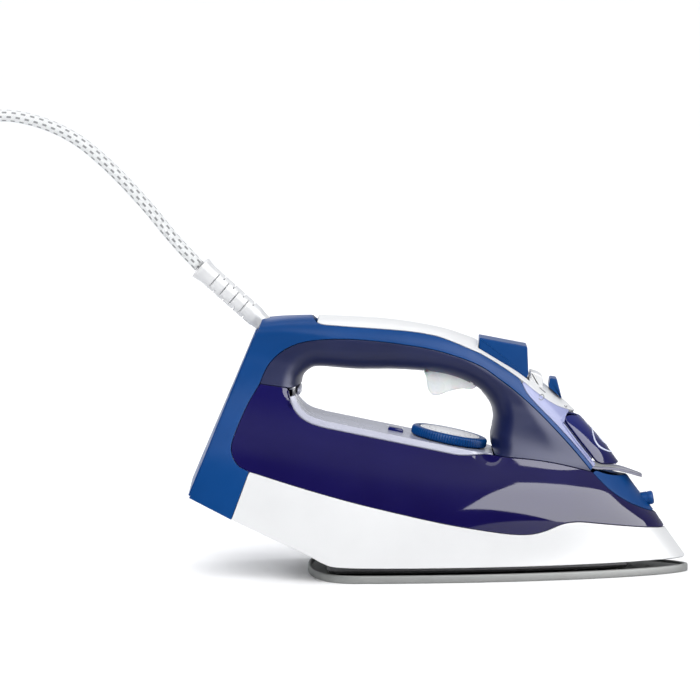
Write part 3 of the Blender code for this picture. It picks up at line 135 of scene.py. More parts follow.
class Flow:
    def __init__(self, tree, socket=None):
        self.tree, self.socket = tree, socket

    def node(self, kind, settings=None, values=None, output=0):
        made = self.tree.nodes.new("ShaderNode" + kind)
        for name, value in (settings or {}).items():
            if name == "stops":
                stops = made.color_ramp.elements
                while len(stops) < len(value):
                    stops.new(0.5)
                for stop, (place, colour) in zip(stops, value):
                    stop.position, stop.color = place, colour
            else:
                setattr(made, name, value)
        for name, value in (values or {}).items():
            if isinstance(value, Flow):
                self.tree.links.new(value.socket, made.inputs[name])
            else:
                made.inputs[name].default_value = value
        return Flow(self.tree, made.outputs[output])

    def maths(self, operation, *others):
        return self.node("Math", {"operation": operation}, dict(enumerate((self, *others))))

    def __add__(self, other):
        return self.maths("ADD", other)

    def __sub__(self, other):
        return self.maths("SUBTRACT", other)

    def __rsub__(self, other):
        return self.node("Math", {"operation": "SUBTRACT"}, {0: other, 1: self})

    def __mul__(self, other):
        return self.maths("MULTIPLY", other)

    def __truediv__(self, other):
        return self.maths("DIVIDE", other)

    def __pow__(self, other):
        return self.maths("POWER", other)

    __radd__, __rmul__ = __add__, __mul__

    def below(self, edge, soft=0.02):
        # 1 under the edge, 0 over it, with a soft step between
        return self.node("MapRange", {"interpolation_type": "SMOOTHSTEP"},
                         {0: self, 1: edge - soft, 2: edge + soft, 3: 1.0, 4: 0.0})

    def between(self, low, high, soft=0.02):
        return self.below(high, soft) * (1 - self.below(low, soft))

    def axes(self):
        return [self.node("SeparateXYZ", None, {0: self}, number) for number in range(3)]

    def mixed(self, first, second):
        # a colour between two others, by this share
        return self.node("Mix", {"data_type": "RGBA"}, {0: self, 6: first, 7: second}, 2)


def newMaterial(name, colour, roughness, metallic=0.0, **fixed):
    made = bpy.data.materials.new(name)
    made.use_nodes = True
    shader = made.node_tree.nodes["Principled BSDF"]
    shader.inputs["Base Color"].default_value = (*colour, 1)
    shader.inputs["Roughness"].default_value = roughness
    shader.inputs["Metallic"].default_value = metallic
    for name, value in fixed.items():
        shader.inputs[name.replace("_", " ")].default_value = value
    return made, Flow(made.node_tree), shader


def feed(shader, name, flow):
    flow.tree.links.new(flow.socket, shader.inputs[name])


def feedBump(shader, height, strength, distance):
    values = {"Strength": strength, "Distance": distance, "Height": height}
    feed(shader, "Normal", height.node("Bump", None, values))


def noise(flow, place, scale, detail=2.0, stretch=None):
    if stretch:
        place = flow.node("Mapping", None, {0: place, "Scale": stretch})
    return flow.node("TexNoise", None, {"Vector": place, "Scale": scale, "Detail": detail})


def shade(colour, factor):
    return tuple(min(part * factor, 1) for part in colour) + (1,)


def mouldedPlastic(name, colour, roughness, grain=0.35, grainSize=0.45, cloud=0.06, sheen=0.12, **fixed):
    # moulded plastic: faint colour clouds, a fine spark-eroded grain in the bump, rubbed patches in the gloss
    made, flow, shader = newMaterial(name, colour, roughness, **fixed)
    place = flow.node("TexCoord", output=3)
    clouds = noise(flow, place, 38, 3)
    speck = noise(flow, place, 2400, 1)
    mask = (clouds - 0.5) * 2.2 + (speck - 0.5) * 0.5 + 0.5
    feed(shader, "Base Color", mask.mixed(shade(colour, 1 - cloud), shade(colour, 1 + cloud)))
    rubbed = noise(flow, place, 75, 4)
    feed(shader, "Roughness", (rubbed - 0.5) * sheen + roughness)
    height = noise(flow, place, 1000 / grainSize, 2)
    feedBump(shader, height, grain, 0.00004)
    return made


def clearPlastic(name, deep, shallow, roughness, heights, **fixed):
    # tinted glossy plastic: deeper colour low down, paler towards its upper edge, with a slow wave in the gloss
    made, flow, shader = newMaterial(name, deep, roughness, **fixed)
    place = flow.node("TexCoord", output=3)
    up = place.axes()[2]
    share = flow.node("MapRange", None, {0: up, 1: heights[0] * mm, 2: heights[1] * mm})
    waves = noise(flow, place, 26, 2)
    mask = share * 0.7 + (waves - 0.5) * 0.6
    feed(shader, "Base Color", mask.mixed((*deep, 1), (*shallow, 1)))
    feed(shader, "Roughness", (noise(flow, place, 90, 3) - 0.5) * 0.05 + roughness)
    ripple = noise(flow, place, 22, 1)
    feedBump(shader, ripple, 0.25, 0.0004)
    return made


def metalFinish(name, colour, roughness, grain, stretch, metallic=1.0, strength=0.25):
    # metal or coating: streaks drawn out along one direction, and slow stains
    made, flow, shader = newMaterial(name, colour, roughness, metallic)
    place = flow.node("TexCoord", output=3)
    streaks = noise(flow, place, grain, 3, stretch)
    stains = noise(flow, place, 60, 3)
    feed(shader, "Base Color", (streaks * 0.5 + stains * 0.5).mixed(shade(colour, 0.8), shade(colour, 1.15)))
    feed(shader, "Roughness", (streaks - 0.5) * 0.3 + roughness)
    feedBump(shader, streaks, strength, 0.00006)
    return made


colours = {
    "blue": (0.001, 0.045, 0.185), "navy": (0.004, 0.008, 0.05), "tank": (0.006, 0.004, 0.052),
    "tankEdge": (0.012, 0.010, 0.10), "white": (0.68, 0.685, 0.69), "lilac": (0.40, 0.43, 0.66),
    "deck": (0.36, 0.37, 0.46), "sole": (0.22, 0.225, 0.22),
}
finishes = {
    "blue": mouldedPlastic("satinBluePlastic", colours["blue"], 0.34, 0.3, Specular_IOR_Level=0.12),
    "navy": mouldedPlastic("softNavyGrip", colours["navy"], 0.36, 0.25, 0.6, 0.12, Specular_IOR_Level=0.3),
    "tank": clearPlastic("navyTankPlastic", colours["tank"], colours["tankEdge"], 0.06, (30, 115),
                         Specular_IOR_Level=0.34),
    "lip": clearPlastic("smokyLipPlastic", (0.05, 0.05, 0.09), (0.16, 0.16, 0.24), 0.1, (56, 62),
                        Specular_IOR_Level=0.25),
    "lid": clearPlastic("blueLidPlastic", (0.005, 0.005, 0.07), (0.012, 0.02, 0.16), 0.05, (64, 94),
                        Specular_IOR_Level=0.3),
    "white": mouldedPlastic("glossWhitePlastic", colours["white"], 0.30, 0.12, 0.5, 0.02, 0.08),
    "trigger": mouldedPlastic("milkyTriggerPlastic", (0.78, 0.80, 0.80), 0.28, 0.08, 0.5, 0.03,
                              Subsurface_Weight=0.35, Subsurface_Scale=0.004),
    "lilac": clearPlastic("lilacFunnelPlastic", (0.24, 0.26, 0.46), colours["lilac"], 0.14, (60, 115),
                          Specular_IOR_Level=0.2),
    "deck": mouldedPlastic("paleDeckPlastic", colours["deck"], 0.26, 0.1, 0.5, 0.03),
    "sole": metalFinish("soleCoating", colours["sole"], 0.5, 1500, (0.3, 1, 1), 0.1),
    "cast": metalFinish("castCasting", (0.085, 0.085, 0.09), 0.55, 1400, (1, 1, 1), 0.5, 0.6),
    "steel": metalFinish("drawnSteel", (0.55, 0.55, 0.56), 0.28, 700, (1, 0.05, 1)),
    "brass": metalFinish("turnedBrass", (0.60, 0.43, 0.18), 0.3, 900, (1, 1, 0.05)),
    "inner": mouldedPlastic("innerPlastic", (0.62, 0.62, 0.60), 0.45),
}


# Dial face: polar marks about its own axis


def dialPrint():
    made, flow, shader = newMaterial("printedDialFace", (0.8, 0.8, 0.8), 0.3)
    spot, normal, _ = deckFrame()
    tilt = math.atan2(normal.x, normal.z)
    place = flow.node("Mapping", {"vector_type": "TEXTURE"}, {
        0: flow.node("TexCoord", output=3), "Location": tuple(spot * mm), "Rotation": (0, tilt, 0)})
    x, y, _ = place.axes()
    radius = (x * x + y * y) ** 0.5 / mm
    turn = y.maths("ARCTAN2", x) / (2 * math.pi) + 0.5
    def spokes(count, half, soft, inner, outer):
        # marks spaced evenly round the dial, between two radii
        near = ((turn * count).maths("FRACT") - 0.5).maths("ABSOLUTE").below(half, soft)
        return near * radius.between(inner, outer, 0.1)

    ticks = spokes(24, 0.09, 0.03, 13.4, 15.6)
    rings = radius.between(12.2, 12.6, 0.1) + radius.between(16.2, 16.6, 0.1)
    dots = spokes(6, 0.05, 0.01, 9.4, 10.6)
    marks = (ticks + rings + dots).maths("MINIMUM", 1.0)
    feed(shader, "Base Color", marks.mixed((0.80, 0.80, 0.82, 1), (0.22, 0.23, 0.26, 1)))
    feed(shader, "Roughness", (noise(flow, place, 900, 2) - 0.5) * 0.1 + 0.32)
    return made


def braidedTextile():
    # white braid: a herringbone of raised strands in the bump, and staggered grey dashes worked into it;
    # the piece's own map runs along the cord in cord diameters, and once round it
    made, flow, shader = newMaterial("whiteCordBraid", (0.82, 0.83, 0.83), 0.9)
    along, around, _ = flow.node("UVMap", {"uv_map": "braid"}).axes()
    rows = around * 8
    row = rows.maths("FLOOR")
    stagger = (row * 0.5).maths("FRACT")
    dash = ((along * 1.3 + stagger).maths("FRACT") - 0.5).maths("ABSOLUTE").below(0.24, 0.06)
    across = (rows.maths("FRACT") - 0.5).maths("ABSOLUTE").below(0.22, 0.08)
    fibres = noise(flow, flow.node("TexCoord", output=3), 2600, 2)
    mask = (dash * across * (fibres * 0.5 + 0.65)).maths("MINIMUM", 1.0)
    strands = ((along * 7 + around * 16) * 2 * math.pi).maths("SINE")
    others = ((along * 7 - around * 16) * 2 * math.pi).maths("SINE")
    weave = strands.maths("MAXIMUM", others)
    shadow = (weave * 0.5 + 0.5).mixed((0.60, 0.61, 0.62, 1), (0.86, 0.87, 0.87, 1))
    feed(shader, "Base Color", mask.mixed(shadow, (0.20, 0.205, 0.21, 1)))
    feedBump(shader, weave * 0.6 + fibres * 0.5, 0.6, 0.0003)
    return made


# Side-view curves


def smoothCurve(points, perSpan=10):
    # each span is the cubic that its four nearest points give, so the curve passes through every point
    points = np.array(points, float)
    padded = np.vstack([2 * points[0] - points[1], points, 2 * points[-1] - points[-2]])
    t = np.linspace(0, 1, perSpan, endpoint=False)[None, :, None]
    a, b, c, d = (padded[first:len(padded) - 3 + first, None] for first in range(4))
    spans = b + 0.5 * t * (c - a + t * (2 * a - 5 * b + 4 * c - d + t * (3 * b - 3 * c + d - a)))
    return np.vstack([spans.reshape(-1, points.shape[1]), points[-1:]])


def joined(*curves):
    return np.vstack([curves[0]] + [curve[1:] for curve in curves[1:]])


def lengthsAlong(curve):
    return np.concatenate([[0], np.cumsum(np.linalg.norm(np.diff(curve, axis=0), axis=1))])


def resample(curve, count, skipStart=0.0, skipEnd=0.0):
    along = lengthsAlong(curve)
    wanted = np.linspace(skipStart, along[-1] - skipEnd, count)
    return np.stack([np.interp(wanted, along, axis) for axis in curve.T], axis=1)


def portion(curve, start, end):
    # the stretch between the places on the curve that are nearest to two points
    along, dense = lengthsAlong(curve), resample(curve, 6 * len(curve))
    near = [np.argmin(np.linalg.norm(dense - point, axis=1)) for point in (start, end)]
    low, high = along[-1] * np.array(near) / (len(dense) - 1)
    inside = curve[(along > low + 0.05) & (along < high - 0.05)]
    tips = np.stack([np.interp((low, high), along, axis) for axis in curve.T], axis=1)
    return np.vstack([tips[:1], inside, tips[1:]])


def easeBetween(low, high, value):
    t = np.clip((value - low) / (high - low), 0, 1)
    return t * t * (3 - 2 * t)


def distanceTo(curve, x, z):
    # distance of each side-view point to the nearest straight step of the curve
    start, run = curve[:-1], np.diff(curve, axis=0)
    away = np.stack([np.ravel(x), np.ravel(z)], axis=1)[:, None] - start
    share = np.clip((away * run).sum(2) / (run * run).sum(1), 0, 1)
    gap = away - share[..., None] * run
    return np.sqrt((gap * gap).sum(2).min(1)).reshape(np.shape(x))


body = {
    "crest": [(-103.5, 149.0), (-88, 150.3), (-64, 150.5), (-29, 148.4), (0, 143.6), (20, 137.2)],
    "crestFront": [(20, 137.2), (35.4, 127.8), (51.2, 118.0), (65, 107.4), (80, 94.0), (97.4, 74.6)],
    "crestNose": [(97.4, 74.6), (106.2, 62.3), (115, 49.6), (126.5, 35.0), (132.2, 26.2), (144.4, 9.0)],
    "heel": [(-145.5, 48.5), (-103.5, 149.0)],
    "capSeam": [(-74, 150.5), (-70, 146.8), (-58, 145.4), (-23, 142.8), (-5, 140.2), (6, 136.8),
                (23.7, 129.4)],
    "capSeamFront": [(23.7, 129.4), (35.4, 122.4), (46.5, 114.6), (57, 106.2), (68, 98.8), (79.6, 94.4)],
    "heelSeam": [(-120.9, 36.2), (-110.6, 63.8)],
    "tankRear": [(-110.6, 63.8), (-117, 67.2), (-120.7, 74), (-120, 82), (-112.4, 99.5), (-104.8, 112.4)],
    "gripSeam": [(-104.8, 112.4), (-101, 121.2), (-95.5, 128), (-87.5, 133.4), (-77.5, 136.6), (-62, 138),
                 (-44, 137.4), (-23, 135), (-1, 131), (21.6, 123.2), (35.1, 114.2), (44.2, 107.2),
                 (55.3, 97.4), (66, 86.6), (77, 74.4), (88.6, 60.6)],
    "stripSeam": [(46.5, 114.6), (50.8, 106.2), (57.2, 98.9), (67.8, 88.1), (78.8, 75.9), (89.9, 62.4)],
    "loop": [(-80.3, 111.5), (-79.4, 115.4), (-76, 119), (-70, 120.6), (-48, 119), (-25, 118.9), (-5, 117.3),
             (10, 113.8), (21.9, 107.8), (28.6, 100.3), (30.9, 93.4), (30.5, 87), (29.4, 81), (29.8, 75.5)],
    "pillarRear": [(-104.8, 112.4), (-94.6, 110.9), (-85.2, 109.6)],
    "pillarFront": [(31.6, 71), (54, 68.6), (71, 65.4), (88.6, 60.6)],
    "deckRear": [(-85.2, 109.6), (-84.3, 104.5), (-80.8, 98.4), (-75.3, 94), (-67, 91.2)],
    "deckFront": [(-67, 91.2), (31.6, 71)],
    "noseSeam": [(88.6, 60.6), (95.4, 53.6), (101, 48.6), (108, 43.8), (115.5, 39.8), (126.5, 35.0)],
    "noseTop": [(90.6, 61.4), (97, 59), (103.5, 57.6), (109.7, 57.2)],
    "tankSeam": [(-110.6, 63.8), (-81.6, 54.8), (-52.4, 46.6), (-23.1, 39.6), (6.1, 33.3), (35.4, 28.2),
                 (50, 27), (60, 28.6), (70.5, 32.4), (80, 33.3), (94, 31.5), (115, 28.4), (132.2, 26.2)],
    "skirtBottom": [(-120.9, 36.2), (-99.2, 26.3), (-77.5, 16.6), (-68, 11.6), (-58, 9.2), (-23, 8.6),
                    (70, 8.5), (129, 8.8), (144.4, 9.0)],
    "lidSeam": [(80.2, 93.9), (75, 94.3), (71.3, 92.6), (72.2, 89), (76.4, 83.2), (80.8, 77.4), (86.6, 70),
                (90.8, 64.9), (96.4, 62.8), (105.8, 62.4)],
    "widths": [(0, 57.5), (12, 56.2), (30, 53), (45, 49.8), (60, 45), (70, 39.4), (80, 32.8), (88, 28.2),
               (98, 24.4), (112, 21.2), (125, 19.4), (160, 18.4)],
    "noseLengths": [(0, 200), (12, 190), (30, 140), (45, 105), (60, 76), (75, 64), (100, 56), (160, 50)],
    "deckSlope": 0.187, "deckLevelX": -49.0, "handleRound": 15.0, "loopRound": 12.0, "heelRound": 8.0,
    "slopeRound": 34.0, "softness": 2.2, "rearTaper": 0.10, "seamGap": 0.3, "wall": 2.0, "edgeRound": 0.28,
}
line = {name: smoothCurve(points) for name, points in body.items() if isinstance(points, list)}
crest = joined(line["crest"], line["crestFront"], line["crestNose"])


def roundedShare(distance, radius):
    # superellipse: nothing on the edge, everything from the radius inwards
    u = np.clip((distance - 0.12) / radius, 0, 1)
    return (1 - (1 - u) ** body["softness"]) ** (1 / body["softness"])


def fromTable(name, value):
    return np.interp(value, line[name][:, 0], line[name][:, 1])


def halfWidth(x, z):
    # width over the sloping deck line, times the plan's nose curve low down and the crest's rounding high up,
    # times the rounding round the hand loop, and a slight taper towards the heel
    x, z = np.asarray(x, float), np.asarray(z, float)
    height = z + body["deckSlope"] * (x - body["deckLevelX"]) * easeBetween(30, 75, z)
    falling = crest[crest[:, 0] > 0]
    front = np.interp(-z, -falling[:, 1], falling[:, 0])
    nose = np.clip((front - x) / fromTable("noseLengths", z), 0, 1)
    plan = (1 - (1 - nose) ** 1.9) ** 0.625
    radius = body["heelRound"] + (body["handleRound"] - body["heelRound"]) * easeBetween(-100, -50, x)
    radius = radius + (body["slopeRound"] - body["handleRound"]) * easeBetween(40, 85, x)
    crown = roundedShare(distanceTo(crest, x, z), radius)
    upper = easeBetween(60, 90, z)
    grip = roundedShare(distanceTo(line["loop"], x, z), body["loopRound"])
    behind = np.clip((-60 - x) / 85.5, 0, 1)
    width = fromTable("widths", height) * ((1 - upper) * plan + upper * crown) * grip
    width = width * (1 - body["rearTaper"] * behind**2)
    return np.where(width < 0.03, 0.0, width)


def deckFrame():
    start, end = (Vector((point[0], 0, point[1])) for point in body["deckFront"])
    along = (end - start).normalized()
    normal = Vector((-along.z, 0, along.x))
    spot = start + along * ((dial["x"] - start.x) / along.x)
    return spot, normal, along


# Making meshes


def toMesh(name, points, faces):
    mesh = bpy.data.meshes.new(name)
    mesh.from_pydata((np.asarray(points) * mm).tolist(), [], faces)
    return mesh


def gridFaces(columns, rows, around=False, closed=False):
    # the four-sided faces of a grid; around joins its last column to its first, and closed its last row
    index = np.arange(columns * rows).reshape(columns, rows)
    if around:
        index = np.vstack([index, index[:1]])
    if closed:
        index = np.hstack([index, index[:, :1]])
    return np.stack([index[:-1, :-1], index[1:, :-1], index[1:, 1:], index[:-1, 1:]], axis=-1).reshape(-1, 4)


def closedTube(count, around, start=0):
    # the faces of a run of rings, with a flat face over each end
    index = start + np.arange(count * around).reshape(count, around)
    sides = start + gridFaces(count, around, closed=True)
    return sides.tolist() + [index[0].tolist(), index[-1, ::-1].tolist()]


def tidied(mesh, merge=0.01, turnOut=False):
    shape = bmesh.new()
    shape.from_mesh(mesh)
    bmesh.ops.remove_doubles(shape, verts=shape.verts, dist=merge * mm)
    bmesh.ops.dissolve_degenerate(shape, edges=shape.edges, dist=0.5 * merge * mm)
    if turnOut:
        bmesh.ops.recalc_face_normals(shape, faces=shape.faces)
        if shape.calc_volume(signed=True) < 0:
            bmesh.ops.reverse_faces(shape, faces=shape.faces)
    shape.to_mesh(mesh)
    shape.free()
    return mesh


def settled(piece, sharp=38):
    # keeps the result of the modifiers as the piece's own mesh
    bpy.context.view_layer.update()
    graph = bpy.context.evaluated_depsgraph_get()
    mesh = bpy.data.meshes.new_from_object(piece.evaluated_get(graph))
    piece.modifiers.clear()
    piece.data = mesh
    mesh.name = piece.name
    mesh.shade_smooth()
    mesh.set_sharp_from_angle(angle=math.radians(sharp))
    return piece


def newPiece(name, mesh):
    piece = bpy.data.objects.new(name, mesh)
    bpy.context.scene.collection.objects.link(piece)
    return piece


def roundEdges(piece, width, segments):
    edge = piece.modifiers.new("roundedEdges", "BEVEL")
    edge.width, edge.segments, edge.limit_method = width * mm, segments, "ANGLE"
    edge.angle_limit = math.radians(40)
    return piece


def thickSheet(name, grid, outward, wall, rounded=None, carve=()):
    # The grid covers one side, up to the middle plane or to open edges. The wall is the grid moved inwards along
    # its normals; open edges get a rounded lip; the whole is mirrored, and its halves join on the plane.
    lip = body["edgeRound"] if rounded is None else rounded
    normal = np.cross(np.gradient(grid, axis=0), np.gradient(grid, axis=1))
    size = np.linalg.norm(normal, axis=2, keepdims=True)
    sign = 1 if normal.reshape(-1, 3).sum(0) @ np.array(outward) > 0 else -1
    normal = sign * normal / np.maximum(size, 1e-9)
    for step in (1, -1):
        flat = size[..., 0] < 1e-7
        normal = np.where(flat[..., None], np.roll(normal, step, axis=1), normal)
    onPlane = (np.abs(grid[..., 1]) < 1e-6)[..., None]
    normal = normal * np.where(onPlane, [1, 0, 1], 1)
    normal = normal / np.maximum(np.linalg.norm(normal, axis=2, keepdims=True), 1e-9)
    inner = grid - normal * wall
    inner[..., 1] = np.minimum(np.where(onPlane[..., 0], 0, inner[..., 1]), 0)

    def edgeLip(first, second):
        run = grid[:, second] - grid[:, first]
        reach = np.linalg.norm(run, axis=1, keepdims=True)
        run = run / np.maximum(reach, 1e-6) * ~onPlane[:, first]
        away = np.linalg.norm(grid - grid[:, first:first + 1 or None], axis=2, keepdims=True)
        push = run[:, None] * lip * np.exp(-away / (2 * lip))
        arc = [grid[:, first] + run * lip * (1 - math.sin(a)) - normal[:, first] * lip * (1 - math.cos(a))
               for a in np.radians((30, 60, 90))]
        return push, np.stack(arc, axis=1)

    pushLow, lowArc = edgeLip(0, 1)
    pushHigh, highArc = edgeLip(-1, -2)
    outer = grid + pushLow + pushHigh
    ring = np.concatenate([outer, highArc, inner[:, ::-1], lowArc[:, ::-1]], axis=1)
    ring[..., 1] = np.minimum(ring[..., 1], 0)
    columns, rows, around = grid.shape[0], grid.shape[1], ring.shape[1]
    index = np.arange(columns * around).reshape(columns, around)
    faces = gridFaces(columns, around, closed=True)
    ends = []
    for column, turn in ((index[0], 1), (index[-1], -1)):
        out, back = column[:rows], column[rows + 3:2 * rows + 3][::-1]
        ends.append(np.stack([out[:-1], out[1:], back[1:], back[:-1]], axis=-1)[:, ::turn])
    faces = np.vstack([faces] + ends)
    tips = [np.concatenate([column[part], [column[last]]])[::turn]
            for column, turn in ((index[0], 1), (index[-1], -1))
            for part, last in ((slice(rows - 1, rows + 3), rows + 3), (slice(2 * rows + 2, around), 0))]
    points = ring.reshape(-1, 3)
    onMiddle = np.abs(points[:, 1]) < 1e-6
    faces = faces[~onMiddle[faces].all(axis=1)].tolist()
    faces += [tip.tolist() for tip in tips if not onMiddle[tip].all()]
    whole = np.vstack([points, points * (1, -1, 1)])
    faces += [[corner + len(points) for corner in face[::-1]] for face in faces]
    piece = newPiece(name, tidied(toMesh(name, whole, faces), 0.003, True))
    for cutter in carve:
        carveWith(piece, cutter)
    return settled(piece)


def carveWith(piece, cutter, operation="DIFFERENCE"):
    cutterPiece = newPiece("cutter", cutter)
    tool = piece.modifiers.new("carve", "BOOLEAN")
    tool.operation, tool.object, tool.solver = operation, cutterPiece, "EXACT"
    settled(piece)
    tidied(piece.data, 0.002, True)
    bpy.data.objects.remove(cutterPiece, do_unlink=True)
    return piece


def turnedMesh(name, profile, angles, base, direction=(0, 0, 1), shape=None, closedProfile=False):
    # a (radius, height) profile carried round an axis; shape moves the points before they are put in place
    if closedProfile:
        profile = list(profile) + [profile[0]]
    radius, height = np.array(profile, float).T
    around = np.linspace(0, 2 * math.pi, angles, endpoint=False)[:, None]
    points = np.stack([radius * np.cos(around), radius * np.sin(around), height + 0 * around], axis=-1)
    if shape is not None:
        points = shape(points)
    turn = np.array(Vector(direction).to_track_quat("Z", "Y").to_matrix())
    points = points @ turn.T + np.array(base, float)
    mesh = toMesh(name, points.reshape(-1, 3), gridFaces(*points.shape[:2], around=True).tolist())
    return tidied(mesh, 0.005, True)


def turnedPiece(name, profile, angles, base, direction, shape=None, closedProfile=False):
    return settled(newPiece(name, turnedMesh(name, profile, angles, base, direction, shape, closedProfile)))


def drawnIn(points, depth, least=1):
    # moves points towards the Z axis by a depth each, and by less where they are nearer to it than least
    keep = 1 - depth / np.maximum(np.linalg.norm(points[..., :2], axis=-1), least)
    return points * np.stack([keep, keep, np.ones_like(keep)], axis=-1)


def rodMesh(start, end, radius, sides=24):
    start, end = Vector(start), Vector(end)
    length = (end - start).length
    return turnedMesh("rod", [(0, 0), (radius, 0), (radius, length), (0, length)], sides, start, end - start)


def boxMesh(centre, size, tilt=0.0):
    corners = np.array([(x, y, z) for x in (-0.5, 0.5) for y in (-0.5, 0.5) for z in (-0.5, 0.5)]) * size
    turn = np.array(Matrix.Rotation(tilt, 3, "Y"))
    faces = [(0, 1, 3, 2), (4, 6, 7, 5), (0, 4, 5, 1), (2, 3, 7, 6), (0, 2, 6, 4), (1, 5, 7, 3)]
    return tidied(toMesh("box", corners @ turn.T + np.array(centre), faces), 0.001, True)


def sideways(curve, closed=False):
    # unit normals on the left of a side-view curve
    if closed:
        run = np.roll(curve, -1, axis=0) - np.roll(curve, 1, axis=0)
    else:
        run = np.gradient(curve, axis=0)
    run = run / np.maximum(np.linalg.norm(run, axis=1, keepdims=True), 1e-9)
    return np.stack([-run[:, 1], run[:, 0]], axis=1)


def closedLoop(points, perSpan=8):
    points = list(points)
    whole = smoothCurve(points[-2:] + points + points[:3], perSpan)
    return whole[2 * perSpan:(len(points) + 2) * perSpan]


def platePiece(name, outline, half, rounding, smooth=True, perSpan=6):
    # a closed side-view outline carried across y, drawn in by a quarter circle at both sides
    loop = closedLoop(outline, perSpan) if smooth else np.array(outline, float)
    inward = sideways(loop, True)
    area = np.sum(loop[:, 0] * np.roll(loop[:, 1], -1) - np.roll(loop[:, 0], -1) * loop[:, 1])
    inward = inward * (1 if area > 0 else -1)
    angle, flat = np.linspace(0, math.pi / 2, 6), half - rounding
    corner, drawn = rounding * np.cos(angle), rounding * (1 - np.sin(angle))
    across = np.concatenate([-flat - corner, np.linspace(-1, 1, 9)[1:-1] * flat, flat + corner[::-1]])
    draw = np.concatenate([drawn, np.zeros(7), drawn[::-1]])
    side = loop[:, None] + inward[:, None] * draw[None, :, None]
    points = np.stack([side[..., 0], np.broadcast_to(across, side.shape[:2]), side[..., 1]], axis=-1)
    count, rows = points.shape[:2]
    faces = gridFaces(count, rows, around=True).tolist()
    index = np.arange(count * rows).reshape(count, rows)
    faces += [index[:, 0].tolist(), index[::-1, -1].tolist()]
    piece = newPiece(name, tidied(toMesh(name, points.reshape(-1, 3), faces), 0.002, True))
    return settled(piece, 32)


def tubePoints(path, radius, sides):
    # rings square to the path, each turned back by the twist built up so far, so the tube doesn't wring
    run = np.gradient(path, axis=0)
    run = run / np.linalg.norm(run, axis=1, keepdims=True)
    side = np.cross(run, (0.13, 0.21, 0.97))
    side = side / np.linalg.norm(side, axis=1, keepdims=True)
    carried = side[:-1] - (side[:-1] * run[1:]).sum(1)[:, None] * run[1:]
    turned = np.cross(run[1:], side[1:])
    twist = np.arctan2((carried * turned).sum(1), (carried * side[1:]).sum(1))
    twist = np.concatenate([[0], np.cumsum(twist)])
    around = np.linspace(0, 2 * math.pi, sides + 1)[None, :] + twist[:, None]
    other = np.cross(run, side)
    ring = side[:, None] * np.cos(around)[..., None] + other[:, None] * np.sin(around)[..., None]
    return path[:, None] + ring * np.asarray(radius)


def dress(piece, finish, rides="housing", stands=()):
    piece.data.materials.clear()
    piece.data.materials.append(finishes[finish])
    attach(piece, rides)
    if stands:
        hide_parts(*stands)
    return piece


# Cord: the route from the guard, down to the surface, round the coil and out to the plug

cord = {
    "diameter": 7.0, "sides": 16, "step": 3.0, "coilMiddle": (-318.0, 0.0), "turns": (47, 40, 33, 33, 40, 47),
    "layers": (4.4, 11.4), "shift": 130.0,
    "lead": [(-140.2, 0, 178.8), (-154.7, 0, 194.5), (-169.4, 0, 212.4), (-184, 0, 228.6), (-198.6, 0, 242.7),
             (-214, 0, 254.4), (-234, -1, 263.4), (-257, -3, 267), (-284, -7, 261), (-310, -14, 243),
             (-331, -23, 212), (-345, -32, 170), (-354, -41, 125), (-360, -49, 80), (-364, -54, 45),
             (-365, -52, 20), (-365, -41, 8.5), (-365, -27.5, 5.8), (-365, -14, 4.6)],
    "tail": [(-365, 14, 10.4), (-365, 27.5, 8.6), (-365, 38, 8.4), (-365.5, 50, 12), (-366, 60, 16.6),
             (-366, 66, 18.2), (-366, 72, 18.4)],
}


def coilPath():
    # three turns inwards on the surface, a rise, and three turns outwards on top of them
    turns, perTurn = cord["turns"], 18
    angle = np.arange(0, len(turns) * perTurn + 1) * 360 / perTurn
    which, within = np.minimum(angle // 360, len(turns) - 1).astype(int), angle % 360
    within = np.where(angle == len(turns) * 360, 360, within)
    radii = np.array(turns + (turns[-1],), float)
    radius = radii[which] + (radii[which + 1] - radii[which]) * easeBetween(360 - cord["shift"], 360, within)
    low, high = cord["layers"]
    height = low + (high - low) * easeBetween(2.55 * 360, 2.95 * 360, angle)
    around, (x, y) = np.radians(180 - angle), cord["coilMiddle"]
    return np.stack([x + radius * np.cos(around), y + radius * np.sin(around), height], axis=1)


def makeCord():
    route = np.vstack([cord["lead"], coilPath(), cord["tail"]])
    curve = smoothCurve(route, 8)
    total = lengthsAlong(curve)[-1]
    path = resample(curve, int(total / cord["step"]) + 1)
    points = tubePoints(path, cord["diameter"] / 2, cord["sides"])
    rings, around = points.shape[:2]
    faces = gridFaces(rings, around)
    mesh = toMesh("mainsCord", points.reshape(-1, 3), faces.tolist())
    along = lengthsAlong(path) / cord["diameter"]
    corner = faces.reshape(-1)
    chart = np.stack([along[corner // around], (corner % around) / (around - 1)], axis=1)
    mesh.uv_layers.new(name="braid").data.foreach_set("uv", chart.astype(np.float32).ravel())
    shape = bmesh.new()
    shape.from_mesh(mesh)
    bmesh.ops.remove_doubles(shape, verts=shape.verts, dist=0.01 * mm)
    bmesh.ops.holes_fill(shape, edges=[edge for edge in shape.edges if edge.is_boundary], sides=0)
    bmesh.ops.recalc_face_normals(shape, faces=shape.faces)
    shape.to_mesh(mesh)
    shape.free()
    mesh.shade_smooth()
    piece = newPiece("mainsCord", mesh)
    print(f"cord length {total:.0f} mm, {rings} rings")
    return piece, route, total


finishes["braid"] = braidedTextile()
mainsCord, cordRoute, cordLength = makeCord()
dress(mainsCord, "braid", "housing", ["cord_lead", "cord_coil", "cord_tail"])
print("cord is laid out")

# Tie and plug

plug = {"start": (-366, 72.6, 18.4), "length": 34, "radius": 18, "pinGap": 19, "pinRadius": 2.4, "pinLength": 19}
tieStrip = {"angle": -50, "middle": 40.1, "height": 7.9, "size": (24.2, 9.0, 15.9), "hollow": (22.7, 20, 14.4),
            "corner": 0.45}


